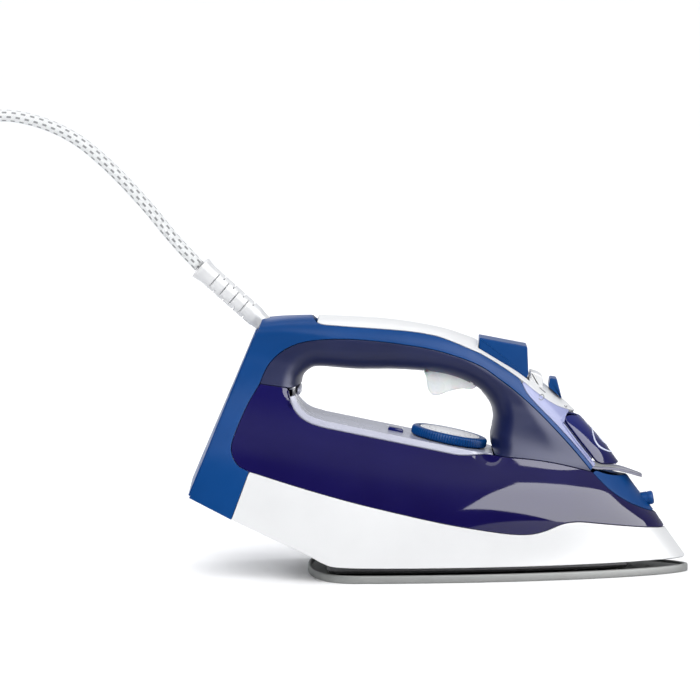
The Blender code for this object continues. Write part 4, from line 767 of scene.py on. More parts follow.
def makeTie():
    # a band round one side of the coil: a box with rounded edges and a hole through it
    angle = math.radians(tieStrip["angle"])
    piece = newPiece("cordTie", boxMesh((0, 0, 0), tieStrip["size"]))
    carveWith(piece, boxMesh((0, 0, 0), tieStrip["hollow"]))
    settled(roundEdges(piece, tieStrip["corner"], 3))
    spot = Vector((cord["coilMiddle"][0] + tieStrip["middle"] * math.cos(angle),
                   cord["coilMiddle"][1] + tieStrip["middle"] * math.sin(angle), tieStrip["height"]))
    piece.data.transform(Matrix.Translation(spot * mm) @ Matrix.Rotation(angle, 4, "Z"))
    return piece


def makePlug():
    radius, length = plug["radius"], plug["length"]
    profile = [(0, length), (radius - 3.0, length), (radius - 1.2, length - 0.25), (radius - 0.3, length - 0.9),
               (radius, length - 2.2), (radius, length - 8), (radius - 0.5, length - 12.5),
               (radius - 2.4, length - 17), (radius - 5.6, length - 21.5), (radius - 8.6, length - 26),
               (6.8, 5.5), (6.0, 3), (5.4, 1.0), (5.0, 0.2), (4.6, 0), (0, 0)]
    dense = smoothCurve(profile, 4)
    dense[:, 0] = np.maximum(dense[:, 0], 0)

    def flutes(points):
        # finger flutes on the two sides of the narrowing waist
        around = np.arctan2(points[..., 1], points[..., 0])
        height = points[..., 2]
        depth = 1.6 * np.clip(np.cos(around), 0, 1) ** 6 + 1.6 * np.clip(-np.cos(around), 0, 1) ** 6
        return drawnIn(points, easeBetween(4, 12, height) * (1 - easeBetween(22, 30, height)) * depth, 4)

    plugBody = turnedPiece("mainsPlug", dense, 64, plug["start"], (0, 1, 0), flutes)
    tip, r = plug["pinLength"] + 2.3, plug["pinRadius"]
    shape = [(0, tip), (r - 1.2, tip - 0.1), (r - 0.4, tip - 0.6), (r, tip - 1.6), (r, tip - 9),
             (r - 0.15, tip - 9.1), (r - 0.15, 0), (0, 0)]
    pins = []
    for number, side in enumerate((-1, 1)):
        start = Vector(plug["start"]) + Vector((side * plug["pinGap"] / 2, length - 2, 0))
        pins.append(turnedPiece(f"plugPin{number + 1}", shape, 28, start, (0, 1, 0)))
    return plugBody, pins


finishes["tie"] = mouldedPlastic("darkTieStrip", (0.03, 0.03, 0.032), 0.6, 0.8, 1.2)
tie = dress(makeTie(), "tie", "housing", ["cord_tie"])
mainsPlug, plugPins = makePlug()
dress(mainsPlug, "white", "housing", ["plug_body"])
for number, pin in enumerate(plugPins):
    dress(pin, "steel", "housing", [f"plug_pin_{number + 1}"])
print("tie and plug are made")

# Housing shells: ruled between the same seams as the frame's, many times finer

shells = {
    "fine": 5, "rows": 26, "bandWidth": 3.6, "deckTrim": 5,
    "capSplits": [(-74, 150.5), (16, 132.6), (46.5, 114.6), (75.5, 95.9), (79.6, 94.4)],
    "capColumns": [14, 4, 6, 2],
    "crestSplits": [(-74, 150.5), (14, 139.3), (51.2, 118), (79.6, 94.4)],
    "gripSplits": [(-104.8, 112.4), (-98, 125.4), (-80, 136), (18, 124.6), (40.5, 110.2), (62, 91.4),
                   (88.6, 60.6)],
    "gripColumns": [3, 4, 14, 4, 5, 8],
    "tankSplits": [(-110.6, 63.8), (-92, 58), (-78, 53.8), (-60, 48.7), (35.4, 28.2), (94, 31.5), (122, 27.5),
                   (132.2, 26.2)],
    "tankColumns": [6, 3, 5, 9, 8, 7, 2],
}


def stations(curve, start, end, columns):
    return resample(portion(curve, start, end), columns * shells["fine"] + 1)


def spread(curve, columns):
    return resample(curve, columns * shells["fine"] + 1)


def splitAt(curve, places, columns):
    return [stations(curve, *step) for step in zip(places, places[1:], columns)]


def insetEdge(edge, beside):
    # each seam edge steps half the gap towards its shell, as far as the slant of the ruling asks
    run = beside - edge
    reach = np.linalg.norm(run, axis=1, keepdims=True)
    run = run / np.maximum(reach, 1e-6)
    square = np.abs((run * sideways(edge)).sum(1))[:, None]
    inwards = run * np.minimum(body["seamGap"] / 2 / np.maximum(square, 0.35), reach * 0.45)
    return edge + inwards * (halfWidth(edge[:, 0], edge[:, 1]) > 0)[:, None]


def trimmed(edge, start, end):
    # shortens a pointed end: the points within the trim gather evenly behind it
    along = lengthsAlong(edge)
    kept = start + (along[-1] - end - start) * along / along[-1]
    return np.stack([np.interp(kept, along, axis) for axis in edge.T], axis=1)


def onBody(x, z, proud=0.0):
    return np.stack([x, -(halfWidth(x, z) + proud), z], axis=-1)


def bodyGrid(bands, rows=None, trim=(0.8, 0.8)):
    # straight rulings from a lower to an upper seam, closer at both edges, pushed out to the half-width
    lower = trimmed(joined(*[low for low, high in bands]), *trim)
    upper = trimmed(joined(*[high for low, high in bands]), *trim)
    low, high = insetEdge(lower, upper), insetEdge(upper, lower)
    even = np.linspace(0, 1, (rows or shells["rows"]) + 1)
    share = (1 - np.cos(np.pi * even)) / 2 * 0.85 + even * 0.15
    side = low[:, None] + (high - low)[:, None] * share[None, :, None]
    return onBody(side[..., 0], side[..., 1])


def seamLists():
    cap = splitAt(joined(line["capSeam"], line["capSeamFront"]), shells["capSplits"], shells["capColumns"])
    grip = splitAt(line["gripSeam"], shells["gripSplits"], shells["gripColumns"])
    tank = splitAt(line["tankSeam"], shells["tankSplits"], shells["tankColumns"])
    strip = splitAt(line["stripSeam"], [body["stripSeam"][0], (68, 91.8), body["stripSeam"][-1]],
                    [shells["gripColumns"][4], shells["gripColumns"][5]])
    return cap, grip, tank, strip


capSeams, gripSeams, tankSeams, stripSeams = seamLists()
heelSeam = spread(line["heelSeam"], 3)
tankRear = spread(line["tankRear"], shells["tankColumns"][0])
noseSeam = spread(line["noseSeam"], shells["tankColumns"][5])


def makeCap():
    columns = shells["capColumns"]
    top = splitAt(crest, shells["crestSplits"], [columns[0], columns[1], columns[2] + columns[3]])
    grid = bodyGrid([(capSeams[0], top[0]), (capSeams[1], top[1]), (joined(capSeams[2], capSeams[3]), top[2])],
                    trim=(4.0, 0.8))
    low, high = button["outline"][0][0], button["outline"][3][0]
    gap = button["gap"]
    opening = boxMesh(((low + high) / 2, 0, 125), (high - low + 2 * gap, 2 * (button["half"] + gap), 50))
    spot, outward, tilt = leverFrame()
    slotSize = (lever["stem"] + 2 * (lever["travel"] + gap), 2 * (lever["stemHalf"] + gap), 12.0)
    slot = boxMesh(spot - outward * 1.4, slotSize, tilt)
    return thickSheet("handleCap", grid, (0, -1, 0), body["wall"], carve=(opening, slot))


def makeFrame():
    heel, columns = line["heel"], shells["gripColumns"]
    lowCorner, highCorner = (-139, 64), (-113.5, 125.1)
    bands = [
        (heelSeam, stations(heel, body["heel"][0], lowCorner, 3)),
        (tankRear, stations(heel, lowCorner, highCorner, shells["tankColumns"][0])),
        (gripSeams[0], stations(heel, highCorner, body["heel"][-1], columns[0])),
        (gripSeams[1], stations(crest, body["heel"][-1], body["capSeam"][0], columns[1])),
        (gripSeams[2], capSeams[0]), (gripSeams[3], capSeams[1]), (gripSeams[4], stripSeams[0]),
        (gripSeams[5], stripSeams[1]),
    ]
    grid = bodyGrid(bands, 18, (0.0, 1.2))
    return thickSheet("blueFrame", grid, (0, -1, 0), body["wall"], carve=(guardHole(48),))


def makeGrip():
    loop, columns = line["loop"], shells["gripColumns"]
    rise = joined(smoothCurve([body["pillarRear"][-1], body["loop"][0]]),
                  portion(loop, body["loop"][0], (-76, 119)))
    foot = joined(portion(loop, (29.6, 98), body["loop"][-1]),
                  smoothCurve([body["loop"][-1], body["pillarFront"][0]]))
    bands = [
        (spread(line["pillarRear"], columns[0]), gripSeams[0]), (spread(rise, columns[1]), gripSeams[1]),
        (stations(loop, (-76, 119), (10, 113.8), columns[2]), gripSeams[2]),
        (stations(loop, (10, 113.8), (29.6, 98), columns[3]), gripSeams[3]),
        (spread(foot, columns[4]), gripSeams[4]), (spread(line["pillarFront"], columns[5]), gripSeams[5]),
    ]
    slot = boxMesh((7.4, 0, 112.6), (34, 2 * (trigger["half"] + 0.6), 22))
    return thickSheet("softGrip", bodyGrid(bands, 30), (0, -1, 0), body["wall"], carve=(slot,))


def deckBand():
    # the pale deck's side band: a line a few millimetres outside its edge, tapering out under the front pillar
    edge = resample(joined(line["deckRear"], line["deckFront"]), 15 * shells["fine"] * 2)
    wide = shells["bandWidth"] * (1 - easeBetween(8, 30.5, edge[:, 0]))
    low = edge - sideways(edge) * wide[:, None]
    seam = np.interp(low[0, 0], line["pillarRear"][:, 0], line["pillarRear"][:, 1])
    low[:, 1] += (seam - low[0, 1]) * (1 - easeBetween(0, 9, lengthsAlong(low)))
    return edge, low


def makeTank():
    low = deckBand()[1]
    columns = shells["tankColumns"]
    upper = [tankRear, spread(portion(line["pillarRear"], body["pillarRear"][0], low[0]), columns[1]),
             stations(low, low[0], (-68.2, 87.7), columns[2]), stations(low, (-68.2, 87.7), low[-1], columns[3]),
             spread(line["pillarFront"], columns[4]), noseSeam,
             stations(crest, body["noseSeam"][-1], body["tankSeam"][-1], columns[6])]
    grid = bodyGrid(list(zip(tankSeams, upper)), 26, (0.8, 1.6))
    return thickSheet("waterTank", grid, (0, -1, 0), body["wall"], carve=(nozzleHole(),))


def makeDeck():
    # the band, then the flat deck; both stop short of the rear pillar
    edge, low = (curve[shells["deckTrim"]:-1] for curve in deckBand())
    share = np.linspace(0, 1, 8)[:, None, None]
    side = low + (edge - low) * share
    side = np.concatenate([side, np.broadcast_to(edge, (7, *edge.shape))]).transpose(1, 0, 2)
    width = halfWidth(side[..., 0], side[..., 1]) - 0.15
    width = width * np.concatenate([np.ones(8), np.linspace(1, 0, 8)[1:]])
    grid = np.stack([side[..., 0], -width, side[..., 1]], axis=-1)
    spot, normal, _ = deckFrame()
    hole = rodMesh(spot - normal * 8, spot + normal * 6, 3.2, 32)
    return thickSheet("paleDeck", grid, (0.2, -0.3, 1), 1.6, rounded=0.9, carve=(hole,))


def makeSkirt():
    bottom = line["skirtBottom"]
    bands = [
        (stations(bottom, body["skirtBottom"][0], (-108, 30.3), 3), heelSeam),
        (stations(bottom, (-108, 30.3), (129, 8.8), sum(shells["tankColumns"])), joined(*tankSeams)),
        (stations(bottom, (129, 8.8), body["skirtBottom"][-1], 4),
         stations(crest, body["tankSeam"][-1], body["crestNose"][-1], 4)),
    ]
    return thickSheet("whiteSkirt", bodyGrid(bands, 16, (0.8, 1.0)), (0, -1, 0), body["wall"])


def makeNoseCover():
    low, whole = 3 * shells["fine"], shells["tankColumns"][5]
    bands = [(noseSeam[:low + 1], spread(line["noseTop"], 3)),
             (noseSeam[low:], stations(crest, body["noseTop"][-1], body["noseSeam"][-1], whole - 3))]
    grid = bodyGrid(bands, 24, (0.8, 2.4))
    return thickSheet("noseCover", grid, (0, -1, 0), body["wall"], carve=(nozzleHole(),))


# Filler: lid, funnel and pouring lip

filler = {"depth": 10.0, "taper": 0.8, "wall": 1.2, "lipHalf": 11.0, "lidGap": 1.5, "lidWall": 1.6,
          "lip": [(85.4, 64.2), (91, 62.2), (98, 61.5), (106.4, 60.4), (118.5, 56.8)],
          "hole": (78, 0, 75.0), "holeReach": (9, 0, 8.6), "holeRadius": 5.0}


def makeLid():
    seam = line["lidSeam"]
    low = resample(seam, 10 * shells["fine"] + 1)
    low = low + sideways(low) * filler["lidGap"]
    high = stations(crest, (82.2, 91.6), (105.2, 63.7), 10)
    low[0], low[-1] = high[0], high[-1]
    return thickSheet("fillerLid", bodyGrid([(low, high)], 22, (1.2, 1.2)), (0, -1, 0), filler["lidWall"])


def makeFunnel():
    # the strip beside the cap's seam, then a bowl sunk square to the slope, narrower at its closed floor
    low = joined(*stripSeams)
    fine = shells["fine"]
    side = portion(line["lidSeam"], (71.2, 92), (91.2, 64.5))
    side = resample(side, len(low) - shells["capColumns"][2] * fine)
    high = np.vstack([capSeams[2], side[1:]])
    strip = bodyGrid([(low, high)], 10, (3.0, 0.8))
    inner = strip[:, -1]
    bowl = (easeBetween(70.5, 73.5, inner[:, 0]) * (1 - easeBetween(86, 89, inner[:, 0])))[:, None]
    step = np.linspace(0, 1, 8)[1:, None, None]
    wall = inner + np.array([-0.72, 0, -0.69]) * filler["depth"] * bowl * step
    wall = wall * (1 + bowl * step * (np.array([1, filler["taper"], 1]) - 1))
    across = np.linspace(1, 0, 7)[1:, None, None]
    floor = wall[-1] * (1 + bowl * (np.array([1, 0, 1]) - 1) * (1 - across))
    grid = np.concatenate([strip.transpose(1, 0, 2), wall, floor]).transpose(1, 0, 2)
    centre, reach = np.array(filler["hole"]), np.array(filler["holeReach"])
    hole = rodMesh(centre + reach, centre - reach, filler["holeRadius"], 32)
    return thickSheet("lilacFunnel", grid, (0.72, 0, 0.69), filler["wall"], rounded=0.25, carve=(hole,))


def makeLip():
    run = resample(smoothCurve(filler["lip"]), 40)
    reach = (run[:, 0] - run[0, 0]) / (run[-1, 0] - run[0, 0])
    widths = filler["lipHalf"] * np.sqrt(1 - 0.86 * reach**2)
    widths = widths + (halfWidth(run[:, 0], run[:, 1]) - 1.2 - widths) * (1 - easeBetween(90, 104, run[:, 0]))
    share = np.linspace(0, 1, 14)
    dish = 1.1 * share**3  # the sides of the lip turn up
    grid = np.stack([np.broadcast_to(run[:, :1], (40, 14)), -widths[:, None] * share,
                     run[:, 1:] + dish * (1 - 0.6 * reach[:, None])], axis=-1)
    return thickSheet("pouringLip", grid, (0, 0, 1), filler["lidWall"], rounded=0.5)


def crossPlate(name, run, half, thickness, outward, rounded, carve=()):
    # a side-view line carried straight across to its half-width
    share = np.linspace(0, 1, 10)
    grid = np.stack([np.broadcast_to(run[:, :1], (len(run), 10)), -np.asarray(half)[:, None] * share,
                     np.broadcast_to(run[:, 1:], (len(run), 10))], axis=-1)
    return thickSheet(name, grid, outward, thickness, rounded=rounded, carve=carve)


# Heel plate, its screws and the underside cover

heelPlate = {"proud": 0.8, "thick": 2.4, "screws": ((16, -24), (16, 24), (62, 0))}


def heelFrame():
    (x0, z0), (x1, z1) = body["heel"]
    along = Vector((x1 - x0, 0, z1 - z0)).normalized()
    return along, Vector((-along.z, 0, along.x))


def makeHeel():
    along, outward = heelFrame()
    run = resample(line["heel"], 60, 1.0, 7.0)
    up = run + np.array([along.x, along.z]) * 4.0
    inside = np.minimum(halfWidth(run[:, 0], run[:, 1]), halfWidth(up[:, 0], up[:, 1])) - body["wall"] - 0.5
    run = run + np.array([outward.x, outward.z]) * heelPlate["proud"]
    bottom = Vector((body["heel"][0][0], 0, body["heel"][0][1]))
    holes = []
    for rise, side in heelPlate["screws"]:
        face = bottom + along * rise + outward * heelPlate["proud"] + Vector((0, side, 0))
        holes.append(rodMesh(face - outward * 8, face + outward * 4, 3.4, 28))
    holes.append(guardHole(40))
    inside = np.maximum(inside, 3.0)
    return crossPlate("heelPlate", run, inside, heelPlate["thick"], tuple(outward), 0.5, holes)


def makeBase():
    corner = np.array(body["heel"][0])
    bottom = line["skirtBottom"]
    run = joined(smoothCurve([body["heel"][0], body["skirtBottom"][0]]),
                 portion(bottom, body["skirtBottom"][0], (-79.5, 17.4)))
    run = resample(run[np.linalg.norm(run - corner, axis=1) > 3.6], 40) + np.array([0, 0.6])
    inside = halfWidth(run[:, 0], run[:, 1] + 1.0) - body["wall"] - 1.2
    return crossPlate("rearUnderside", run, inside, body["wall"], (0, 0, -1), 0.4)


# Soleplate: a dished plate with a raised rim and steam holes

sole = {"rear": -77.0, "front": 145.7, "half": 57.5, "corner": 30.0, "height": 4.6, "dish": 1.5, "rimWide": 2.2,
        "holeRadius": 1.6}


def soleHalf(x):
    reach = np.clip((sole["front"] - x) / 200, 0, 1)
    return sole["half"] * (1 - (1 - reach) ** 1.9) ** 0.625


def makeSole():
    # a rim profile (step inwards, height) carried round the plan outline; its ends close on the middle line
    # the rear edge bows forwards to both sides, then rounds into the long nose curve
    rear, joint = sole["rear"], sole["rear"] + sole["corner"]
    turn = np.linspace(0, math.pi / 2, 30)
    wide = float(soleHalf(joint))
    bow = np.stack([joint - sole["corner"] * np.cos(turn) ** 0.8, wide * np.sin(turn) ** 0.9], axis=1)
    x = joint + (sole["front"] - joint) * np.sin(np.linspace(0, math.pi / 2, 90))[1:]
    half = np.vstack([bow, np.stack([x, soleHalf(x)], axis=1)])
    edge = np.vstack([half * (1, -1), half[-2:0:-1]])
    run = np.roll(edge, -1, axis=0) - np.roll(edge, 1, axis=0)
    run = run / np.linalg.norm(run, axis=1, keepdims=True)
    inward = np.stack([-run[:, 1], run[:, 0]], axis=1)
    top, wide = sole["height"], sole["rimWide"]
    profile = [(1.6, 0), (0.5, 0.12), (0.1, 0.5), (0, 1.2), (0, top - 0.9), (0.15, top - 0.4), (0.6, top),
               (wide - 0.7, top), (wide - 0.2, top - 0.3), (wide, top - 0.8), (wide + 0.2, top - sole["dish"])]
    rings = [np.column_stack([edge + inward * step, np.full(len(edge), height)]) for step, height in profile]
    spine = np.clip(edge[:, 0], rear + 8, sole["front"] - 16)

    def inner(ring, share, height):
        flat = ring[:, :2] + (np.column_stack([spine, 0 * spine]) - ring[:, :2]) * share
        return np.column_stack([flat, np.full(len(edge), height)])

    low = [inner(rings[0], share, 0.0) for share in (1, 0.6, 0.25)]
    high = [inner(rings[-1], share, top - sole["dish"]) for share in (0.25, 0.6, 1)]
    points = np.stack(low + rings + high, axis=1)
    faces = gridFaces(*points.shape[:2], around=True).tolist()
    plate = newPiece("dishedSole", tidied(toMesh("dishedSole", points.reshape(-1, 3), faces), 0.01, True))
    holes = [(x, side * float(soleHalf(x)) * 0.52) for x in np.linspace(20, 104, 8) for side in (-1, 1)]
    for x, y in holes + [(112, 0), (122, 0)]:
        carveWith(plate, rodMesh((x, y, -2), (x, y, 7), sole["holeRadius"], 16))
    return settled(plate, 30)


# Dial, lens and pad

dial = {"x": 5.0, "radius": 22.4, "height": 5.4, "ribs": 84, "ribDepth": 0.55, "gap": 0.6, "lensBack": 31.5}


def makeDial():
    spot, normal, _ = deckFrame()
    radius, height, rise = dial["radius"], dial["height"], dial["gap"]
    profile = [(0, height - 0.9), (radius - 4.3, height - 0.9), (radius - 4.1, height - 0.2),
               (radius - 3.4, height), (radius - 1.8, height - 0.02), (radius - 0.9, height - 0.35),
               (radius - 0.3, height - 0.95), (radius, height - 1.7), (radius, 1.6), (radius, 0.9),
               (radius - 0.35, 0.25), (radius - 0.9, 0), (0, 0)]

    def ribbed(points):
        size = np.linalg.norm(points[..., :2], axis=-1)
        around = np.arctan2(points[..., 1], points[..., 0])
        wave = 0.5 + 0.5 * np.cos(around * dial["ribs"])
        return drawnIn(points, dial["ribDepth"] * wave * easeBetween(radius - 1.6, radius - 0.4, size))

    knob = turnedPiece("ribbedDial", profile, dial["ribs"] * 6, spot + normal * rise, normal, ribbed)
    top = height - 0.9 + 0.3
    face = [(0, 0.6), (radius - 5.2, 0.6), (radius - 4.8, 0.45), (radius - 4.7, 0.2), (radius - 4.7, 0), (0, 0)]
    return knob, turnedPiece("dialFace", face, 96, spot + normal * (rise + top), normal)


def makeLens():
    spot, normal, along = deckFrame()
    middle = spot - along * dial["lensBack"] + normal * 0.2
    piece = newPiece("indicatorLens", boxMesh(middle, (9.0, 12.0, 3.4), math.atan2(-along.z, along.x)))
    return settled(roundEdges(piece, 1.0, 4))


pad = {"x": -82.4, "z": 107.3, "deep": 2.1, "half": 15.6, "tall": 3.5, "lean": -8}


def makePad():
    # a small pale stop on the deck's rear rise: an egg pressed flat on the deck
    around, tall = np.linspace(0, 2 * math.pi, 40, endpoint=False)[:, None], np.linspace(0, math.pi, 20)[None]
    x = pad["x"] + pad["deep"] * np.sin(tall) * np.cos(around)
    z = pad["z"] + pad["tall"] * np.cos(tall) + 0 * around
    lean = np.radians(pad["lean"])
    dx, dz = x - pad["x"], z - pad["z"]
    points = np.stack([pad["x"] + dx * np.cos(lean) - dz * np.sin(lean),
                       pad["half"] * np.sin(tall) * np.sin(around),
                       pad["z"] + dx * np.sin(lean) + dz * np.cos(lean)], axis=-1)
    mesh = toMesh("loopPad", points.reshape(-1, 3), gridFaces(*points.shape[:2], around=True).tolist())
    return settled(newPiece("loopPad", tidied(mesh, 0.005, True)))


# Spray button, steam lever and trigger

button = {"outline": [(22.8, 131.6), (23.0, 138.3), (50.9, 133.0), (51.6, 116.4), (49.6, 113.6), (30, 126.4)],
          "half": 11.5, "round": 0.7, "gap": 0.6}
lever = {"travel": 4.0, "half": 8.0, "stem": 3.4, "stemHalf": 2.0, "spot": (67, 105.8),
         "slope": ((60, 111.3), (78, 95.8)),
         "outline": [(63.4, 109.0), (64.3, 114.2), (68.3, 113.7), (71.2, 102.2)]}
trigger = {"outline": [(-8.2, 118.2), (-7.9, 114.5), (-7.1, 108.6), (-5.2, 105), (-2.6, 103.9), (0.6, 104.6),
                       (6, 106.6), (13, 107.9), (18.4, 107.6), (21.6, 109.4), (22.6, 112.6), (21, 115.6),
                       (17, 116.8), (4, 118.2)],
           "half": 7.5, "round": 1.0}
hump = {"outline": [(52.6, 118.3), (57.6, 116.7), (60.0, 115.0), (60.4, 105.2), (53, 109.6)],
        "corner": 1.1, "half": 9.6, "round": 0.9}


def roundedOutline(points, keep, steps=4):
    # each corner becomes a short parabola that starts and ends keep millimetres from it
    points = np.array(points, float)
    before, after = np.roll(points, 1, axis=0) - points, np.roll(points, -1, axis=0) - points
    first = points + before / np.linalg.norm(before, axis=1, keepdims=True) * keep
    second = points + after / np.linalg.norm(after, axis=1, keepdims=True) * keep
    t = np.linspace(0, 1, steps + 1)[None, :, None]
    bent = (1 - t) ** 2 * first[:, None] + 2 * t * (1 - t) * points[:, None] + t**2 * second[:, None]
    return bent.reshape(-1, 2)


def makeButton():
    outline = roundedOutline(button["outline"], 0.9)
    return platePiece("sprayButton", outline, button["half"], button["round"], smooth=False)


def leverFrame():
    (x0, z0), (x1, z1) = lever["slope"]
    along = Vector((x1 - x0, 0, z1 - z0)).normalized()
    outward = Vector((-along.z, 0, along.x))
    return Vector((lever["spot"][0], 0, lever["spot"][1])), outward, math.atan2(-along.z, along.x)


def makeLever():
    spot, outward, tilt = leverFrame()
    fin = platePiece("steamLever", roundedOutline(lever["outline"], 0.8), lever["half"], 0.6, smooth=False)
    stem = boxMesh(spot - outward * 1.2, (lever["stem"], 2 * lever["stemHalf"], 6.6), tilt)
    return settled(carveWith(fin, stem, "UNION"))


def makeTrigger():
    return platePiece("steamTrigger", trigger["outline"], trigger["half"], trigger["round"], perSpan=5)


def makeHump():
    # the cap's raised end between the button and the lever
    outline = roundedOutline(hump["outline"], hump["corner"])
    return platePiece("capHump", outline, hump["half"], hump["round"], smooth=False)


# Cord guard: a flexing sleeve with slits in four rows, its mouth flared

guard = {"root": 5.3, "body": 6.1, "mouth": 7.0, "length": 48.5, "inside": 13.0, "bore": 4.0, "pitch": 7.6,
         "slitDepth": 1.7, "slitWide": 0.42}


def guardAxis():
    return Vector((-103.8, 0, 146.3)), Vector((-0.746, 0, 0.666)).normalized()


def guardHole(sides):
    base, direction = guardAxis()
    return rodMesh(base - direction * 8.5, base + direction * 20, guard["root"] + 0.6, sides)


def makeGuard():
    base, direction = guardAxis()
    start, length = base - direction * guard["inside"], guard["length"] + guard["inside"]
    height = np.concatenate([np.linspace(0, 13, 14), np.linspace(13, length - 8.5, 230)[1:],
                             np.linspace(length - 8.5, length - 0.5, 16)[1:]])
    radius = guard["root"] + (guard["body"] - guard["root"]) * easeBetween(
        guard["inside"] + 1, guard["inside"] + 6, height)
    radius = radius + (guard["mouth"] - guard["body"]) * easeBetween(length - 8, length - 1, height) ** 1.5
    radius = radius + 2.4 * (1 - easeBetween(2.4, 3.2, height))
    tip, bore = guard["mouth"], guard["bore"]
    mouth = [(tip - 0.25, length - 0.1), (tip - 0.8, length), (bore + 0.3, length), (bore, length - 0.4)]
    profile = np.vstack([[(bore, 0)], np.column_stack([radius, height]), mouth, [(bore, length / 2)]])

    def slits(points):
        x, y, z = points[..., 0], points[..., 1], points[..., 2]
        size, around = np.hypot(x, y), np.arctan2(y, x)
        first, pitch, wide = guard["inside"] + 10.5, guard["pitch"], guard["slitWide"]

        def row(offset, turn):
            place = (z - first - offset) / pitch
            near = np.abs(place - np.round(place)) * pitch
            live = (np.round(place) >= 0) & (np.round(place) < 4)
            facing = np.abs(np.cos(around - turn))
            return live * (1 - easeBetween(wide * 0.5, wide, near)) * easeBetween(0.62, 0.72, facing)

        depth = guard["slitDepth"] * np.maximum(row(0, math.pi / 2), row(pitch / 2, 0))
        return drawnIn(points, depth * (size > bore + 0.4))

    return turnedPiece("cordGuard", profile, 96, start, direction, slits, closedProfile=True)


# Nozzle

nozzle = {"radius": 4.0, "length": 15.0, "tip": (125.4, 43.4)}


def nozzleFrame():
    direction = Vector((0.985, 0, 0.17)).normalized()
    return Vector((nozzle["tip"][0], 0, nozzle["tip"][1])) - direction * nozzle["length"], direction


def nozzleHole():
    start, direction = nozzleFrame()
    return rodMesh(start - direction * 4, start + direction * 23, nozzle["radius"] + 0.3, 32)


def makeNozzle():
    start, direction = nozzleFrame()
    length, radius = nozzle["length"], nozzle["radius"]
    profile = [(1.3, length - 3), (1.3, length - 0.6), (1.7, length - 0.2), (radius - 1.4, length),
               (radius - 0.7, length - 0.15), (radius - 0.15, length - 0.7), (radius, length - 1.5),
               (radius, length - 3.0), (radius - 0.2, length - 3.1), (radius - 0.2, length - 3.6),
               (radius, length - 3.7), (radius, 0), (0, 0), (0, length - 3)]
    return turnedPiece("sprayNozzle", profile, 48, start, direction, closedProfile=True)


# Springs: coils set in the springs' places


def makeSpring(name, turns, wire):
    # a round wire carried up a helix between the ends of the spring's place
    low, high = (np.array(corner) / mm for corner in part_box(name))
    middle, radius = (low + high) / 2, (high[0] - low[0]) / 2 - wire
    turn = np.linspace(0, 2 * math.pi * turns, 28 * turns + 1)
    path = np.stack([middle[0] + radius * np.cos(turn), middle[1] + radius * np.sin(turn),
                     np.linspace(low[2] + wire, high[2] - wire, len(turn))], axis=1)
    rings = tubePoints(path, wire, 10)[:, :-1]
    faces = closedTube(len(rings), 10)
    title = "".join(word.title() if number else word for number, word in enumerate(name.split("_"))) + "Coil"
    piece = settled(newPiece(title, tidied(toMesh(title, rings.reshape(-1, 3), faces), 0.001, True)))
    dress(piece, "steel", "housing", [name])
    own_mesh(piece)


# Small marks laid on the shells: thin raised strips along side-view lines, on both sides


marks = {"grey": [[(58.0, 109.0), (61.5, 106.0)],
                  [(57.6, 104.4), (59.6, 105.3), (60.6, 103.6), (58.9, 102.2), (57.4, 103.2)],
                  [(72.6, 98.2), (73.6, 97.2), (74.4, 97.9)]],
         "width": 0.45, "proud": 0.02, "thick": 0.12, "steps": 24}
emblem = {"middle": 19.5, "half": 9.5, "wide": 0.52, "line": 0.9, "drop": 4.2, "low": 0.03, "high": 0.28,
          "steps": 72}


def markStrip(name, lines, width):
    # each line becomes a strip that lies on the body's surface, and its copy on the far side
    steps, loops = marks["steps"], []
    for points in lines:
        run = resample(smoothCurve(points, 6) if len(points) > 2 else np.array(points, float), steps)
        off = sideways(run) * width / 2
        side = np.stack([run - off, run + off], axis=1)
        near = onBody(side[..., 0], side[..., 1], marks["proud"])
        far = onBody(side[..., 0], side[..., 1], marks["proud"] + marks["thick"])
        loop = np.stack([near[:, 0], near[:, 1], far[:, 1], far[:, 0]], axis=1)
        loops += [loop, loop * (1, -1, 1)]
    faces = sum((closedTube(steps, 4, number * steps * 4) for number in range(len(loops))), [])
    points = np.concatenate([loop.reshape(-1, 3) for loop in loops])
    return settled(newPiece(name, tidied(toMesh(name, points, faces), 0.001, True)))


